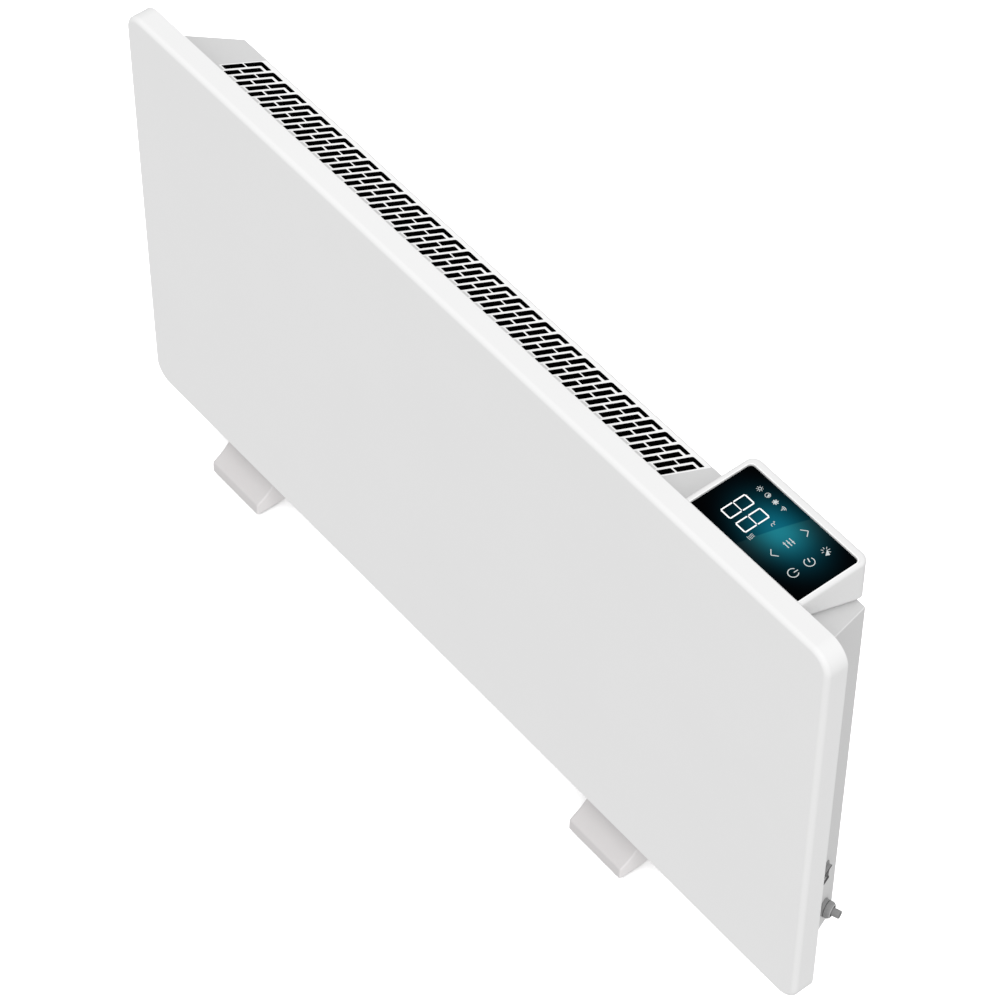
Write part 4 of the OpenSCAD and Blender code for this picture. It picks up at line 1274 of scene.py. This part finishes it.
# ------------------------------------------------- finishes of the inner CAD nodes
INNER = {
    "bright_steel": dict(base=(0.62, 0.63, 0.65), rough=0.3, metallic=1.0, vary=0.05,
                         blotch=30, grain=500, grain_h=0.00001, stretch=(0.05, 1, 1),
                         rough_var=0.1, aniso=0.4),
    "screw_steel": dict(base=(0.64, 0.64, 0.66), rough=0.32, metallic=1.0, vary=0.06,
                        blotch=120, grain=1500, rough_var=0.1, speck=0.1),
    "rod_steel": dict(base=(0.36, 0.33, 0.3), rough=0.48, metallic=1.0, vary=0.18,
                      tint=(0.9, 0.8, 0.75), blotch=35, grain=800, rough_var=0.12,
                      speck=0.15),
    "fin_aluminium": dict(base=(0.7, 0.71, 0.72), rough=0.4, metallic=1.0, vary=0.05,
                          blotch=25, grain=900, stretch=(0.03, 1, 1), rough_var=0.1,
                          aniso=0.5),
    "ceramic": dict(base=(0.82, 0.79, 0.72), rough=0.75, vary=0.04, blotch=70, grain=700,
                    grain_h=0.00005, speck=0.08, spec=0.3),
    "brass": dict(base=(0.66, 0.5, 0.2), rough=0.3, metallic=1.0, vary=0.08, blotch=90,
                  grain=1400, rough_var=0.1, speck=0.08),
    "black_plastic": dict(base=(0.025, 0.025, 0.028), rough=0.45, vary=0.12, blotch=60,
                          grain=1600, grain_h=0.00003, rough_var=0.1),
    "inner_plastic": dict(base=(0.72, 0.72, 0.68), rough=0.42, vary=0.03, blotch=50,
                          grain=1500, grain_h=0.00002),
    "board_green": dict(base=(0.02, 0.16, 0.06), rough=0.3, vary=0.25, blotch=260,
                        grain=420, grain_h=0.00003, stretch=(1, 1, 0.12), coat=0.4,
                        speck=0.25),
    "yellow_tape": dict(base=(0.68, 0.5, 0.08), rough=0.35, vary=0.08, blotch=60,
                        grain=600, stretch=(0.05, 0.05, 1), grain_h=0.00006, coat=0.3),
    "can_blue": dict(base=(0.05, 0.08, 0.2), rough=0.28, vary=0.1, blotch=90, grain=900,
                     coat=0.4),
    "wire_green": dict(base=(0.12, 0.4, 0.06), rough=0.4, vary=0.1, blotch=200, grain=1500),
    "wire_blue": dict(base=(0.03, 0.1, 0.5), rough=0.4, vary=0.1, blotch=200, grain=1500),
    "wire_brown": dict(base=(0.18, 0.08, 0.03), rough=0.4, vary=0.12, blotch=200,
                       grain=1500),
    "wire_white": dict(base=(0.72, 0.7, 0.62), rough=0.85, vary=0.1, blotch=400, grain=1100,
                       grain_h=0.0001, grain_s=0.7, sheen=0.3, speck=0.2),
    "ribbon_grey": dict(base=(0.18, 0.18, 0.2), rough=0.45, vary=0.1, blotch=50, grain=700,
                        stretch=(1, 1, 0.04), speck=0.2),
    "black_rubber": dict(base=(0.02, 0.02, 0.02), rough=0.8, vary=0.2, blotch=70,
                         grain=1200, grain_h=0.00005, grain_s=0.5),
    "grey_plastic": dict(base=(0.25, 0.25, 0.255), rough=0.5, vary=0.06, blotch=60,
                          grain=1500, grain_h=0.00003),
}
SLOT = {s["node"]: s.get("material_slot") for s in frame["record"]["subparts"]}
made = {}
inner = []
for node, ob in frame["nodes"].items():
    if ob.hide_render:
        continue
    s = SLOT.get(node)
    if s not in INNER:
        s = "inner_plastic"
    if s not in made:
        made[s] = material("inner_" + s, **INNER[s])
    if ob.material_slots:
        for ms in ob.material_slots:
            ms.material = made[s]
    else:
        ob.data.materials.append(made[s])
    inner.append(ob)

# ------------------------------------------------------------------------ floor
bm = bmesh.new()
bmesh.ops.create_grid(bm, x_segments=8, y_segments=8, size=14.0)
fm = bpy.data.meshes.new("floor")
bm.to_mesh(fm)
bm.free()
floor = bpy.data.objects.new("floor", fm)
COLL.objects.link(floor)
fm.materials.append(material("floor_paper", (0.93, 0.93, 0.93), 0.9, vary=0.004, blotch=2,
                             grain=300, grain_h=0.0001, spec=0.1))
floor.visible_diffuse = False
floor.visible_glossy = False
floor.visible_shadow = False

# ----------------------------------------------------------------------- camera
cam = bpy.data.objects.new("camera", bpy.data.cameras.new("camera"))
COLL.objects.link(cam)
cam.data.lens = 150.433
cam.data.sensor_width = 36.0
cam.data.sensor_fit = "AUTO"
cam.data.clip_start, cam.data.clip_end = 0.05, 60.0
right = Vector((0.62795608, 0.77823914, 0.00387419))
above = Vector((-0.60081122, 0.48161447, 0.63802303))
ahead = Vector((-0.49466863, 0.40297809, -0.77000754))
cam.matrix_world = Matrix(((right.x, above.x, -ahead.x, 1.546968),
                           (right.y, above.y, -ahead.y, -1.270280),
                           (right.z, above.z, -ahead.z, 2.622355),
                           (0, 0, 0, 1)))
bpy.context.scene.camera = cam

# ----------------------------------------------------------------------- lights
world = bpy.data.worlds.new("studio")
bpy.context.scene.world = world
world.use_nodes = True
bg = world.node_tree.nodes["Background"]
bg.inputs["Color"].default_value = (1, 1, 1, 1)
bg.inputs["Strength"].default_value = 0.711


def group(name, obs):
    c = bpy.data.collections.new(name)
    for o in obs:
        c.objects.link(o)
    return c


def sun(name, toward, power, spread, receivers, shadow=True):
    d = bpy.data.lights.new(name, "SUN")
    d.energy = power
    d.angle = math.radians(spread)
    d.use_shadow = shadow
    o = bpy.data.objects.new(name, d)
    COLL.objects.link(o)
    o.location = Vector(toward) * 3
    o.rotation_mode = "QUATERNION"
    o.rotation_quaternion = (-Vector(toward)).to_track_quat("-Z", "Y")
    o.light_linking.receiver_collection = receivers
    return o


feet = [foot_l, foot_r, soles]
outer = [panel, case, slots, box, under, pane, num, ico, frame_sw, key, key_marks, g_body,
         g_nut, g_tube, heads]
g_outer = group("lit_by_key", outer)
g_feet = group("lit_by_foot_light", feet)
g_floor = group("lit_floor", [floor])
sun("key_light", (0.371, -0.429, 0.823), 1.51, 50, g_outer)
sun("foot_light", (0.79, -0.12, 0.6), 1.75, 40, g_feet)
sun("floor_light", (0.25, -0.3, 0.92), 6.0, 120, g_floor)
bpy.context.scene.view_settings.view_transform = "Standard"
bpy.context.scene.view_settings.look = "None"
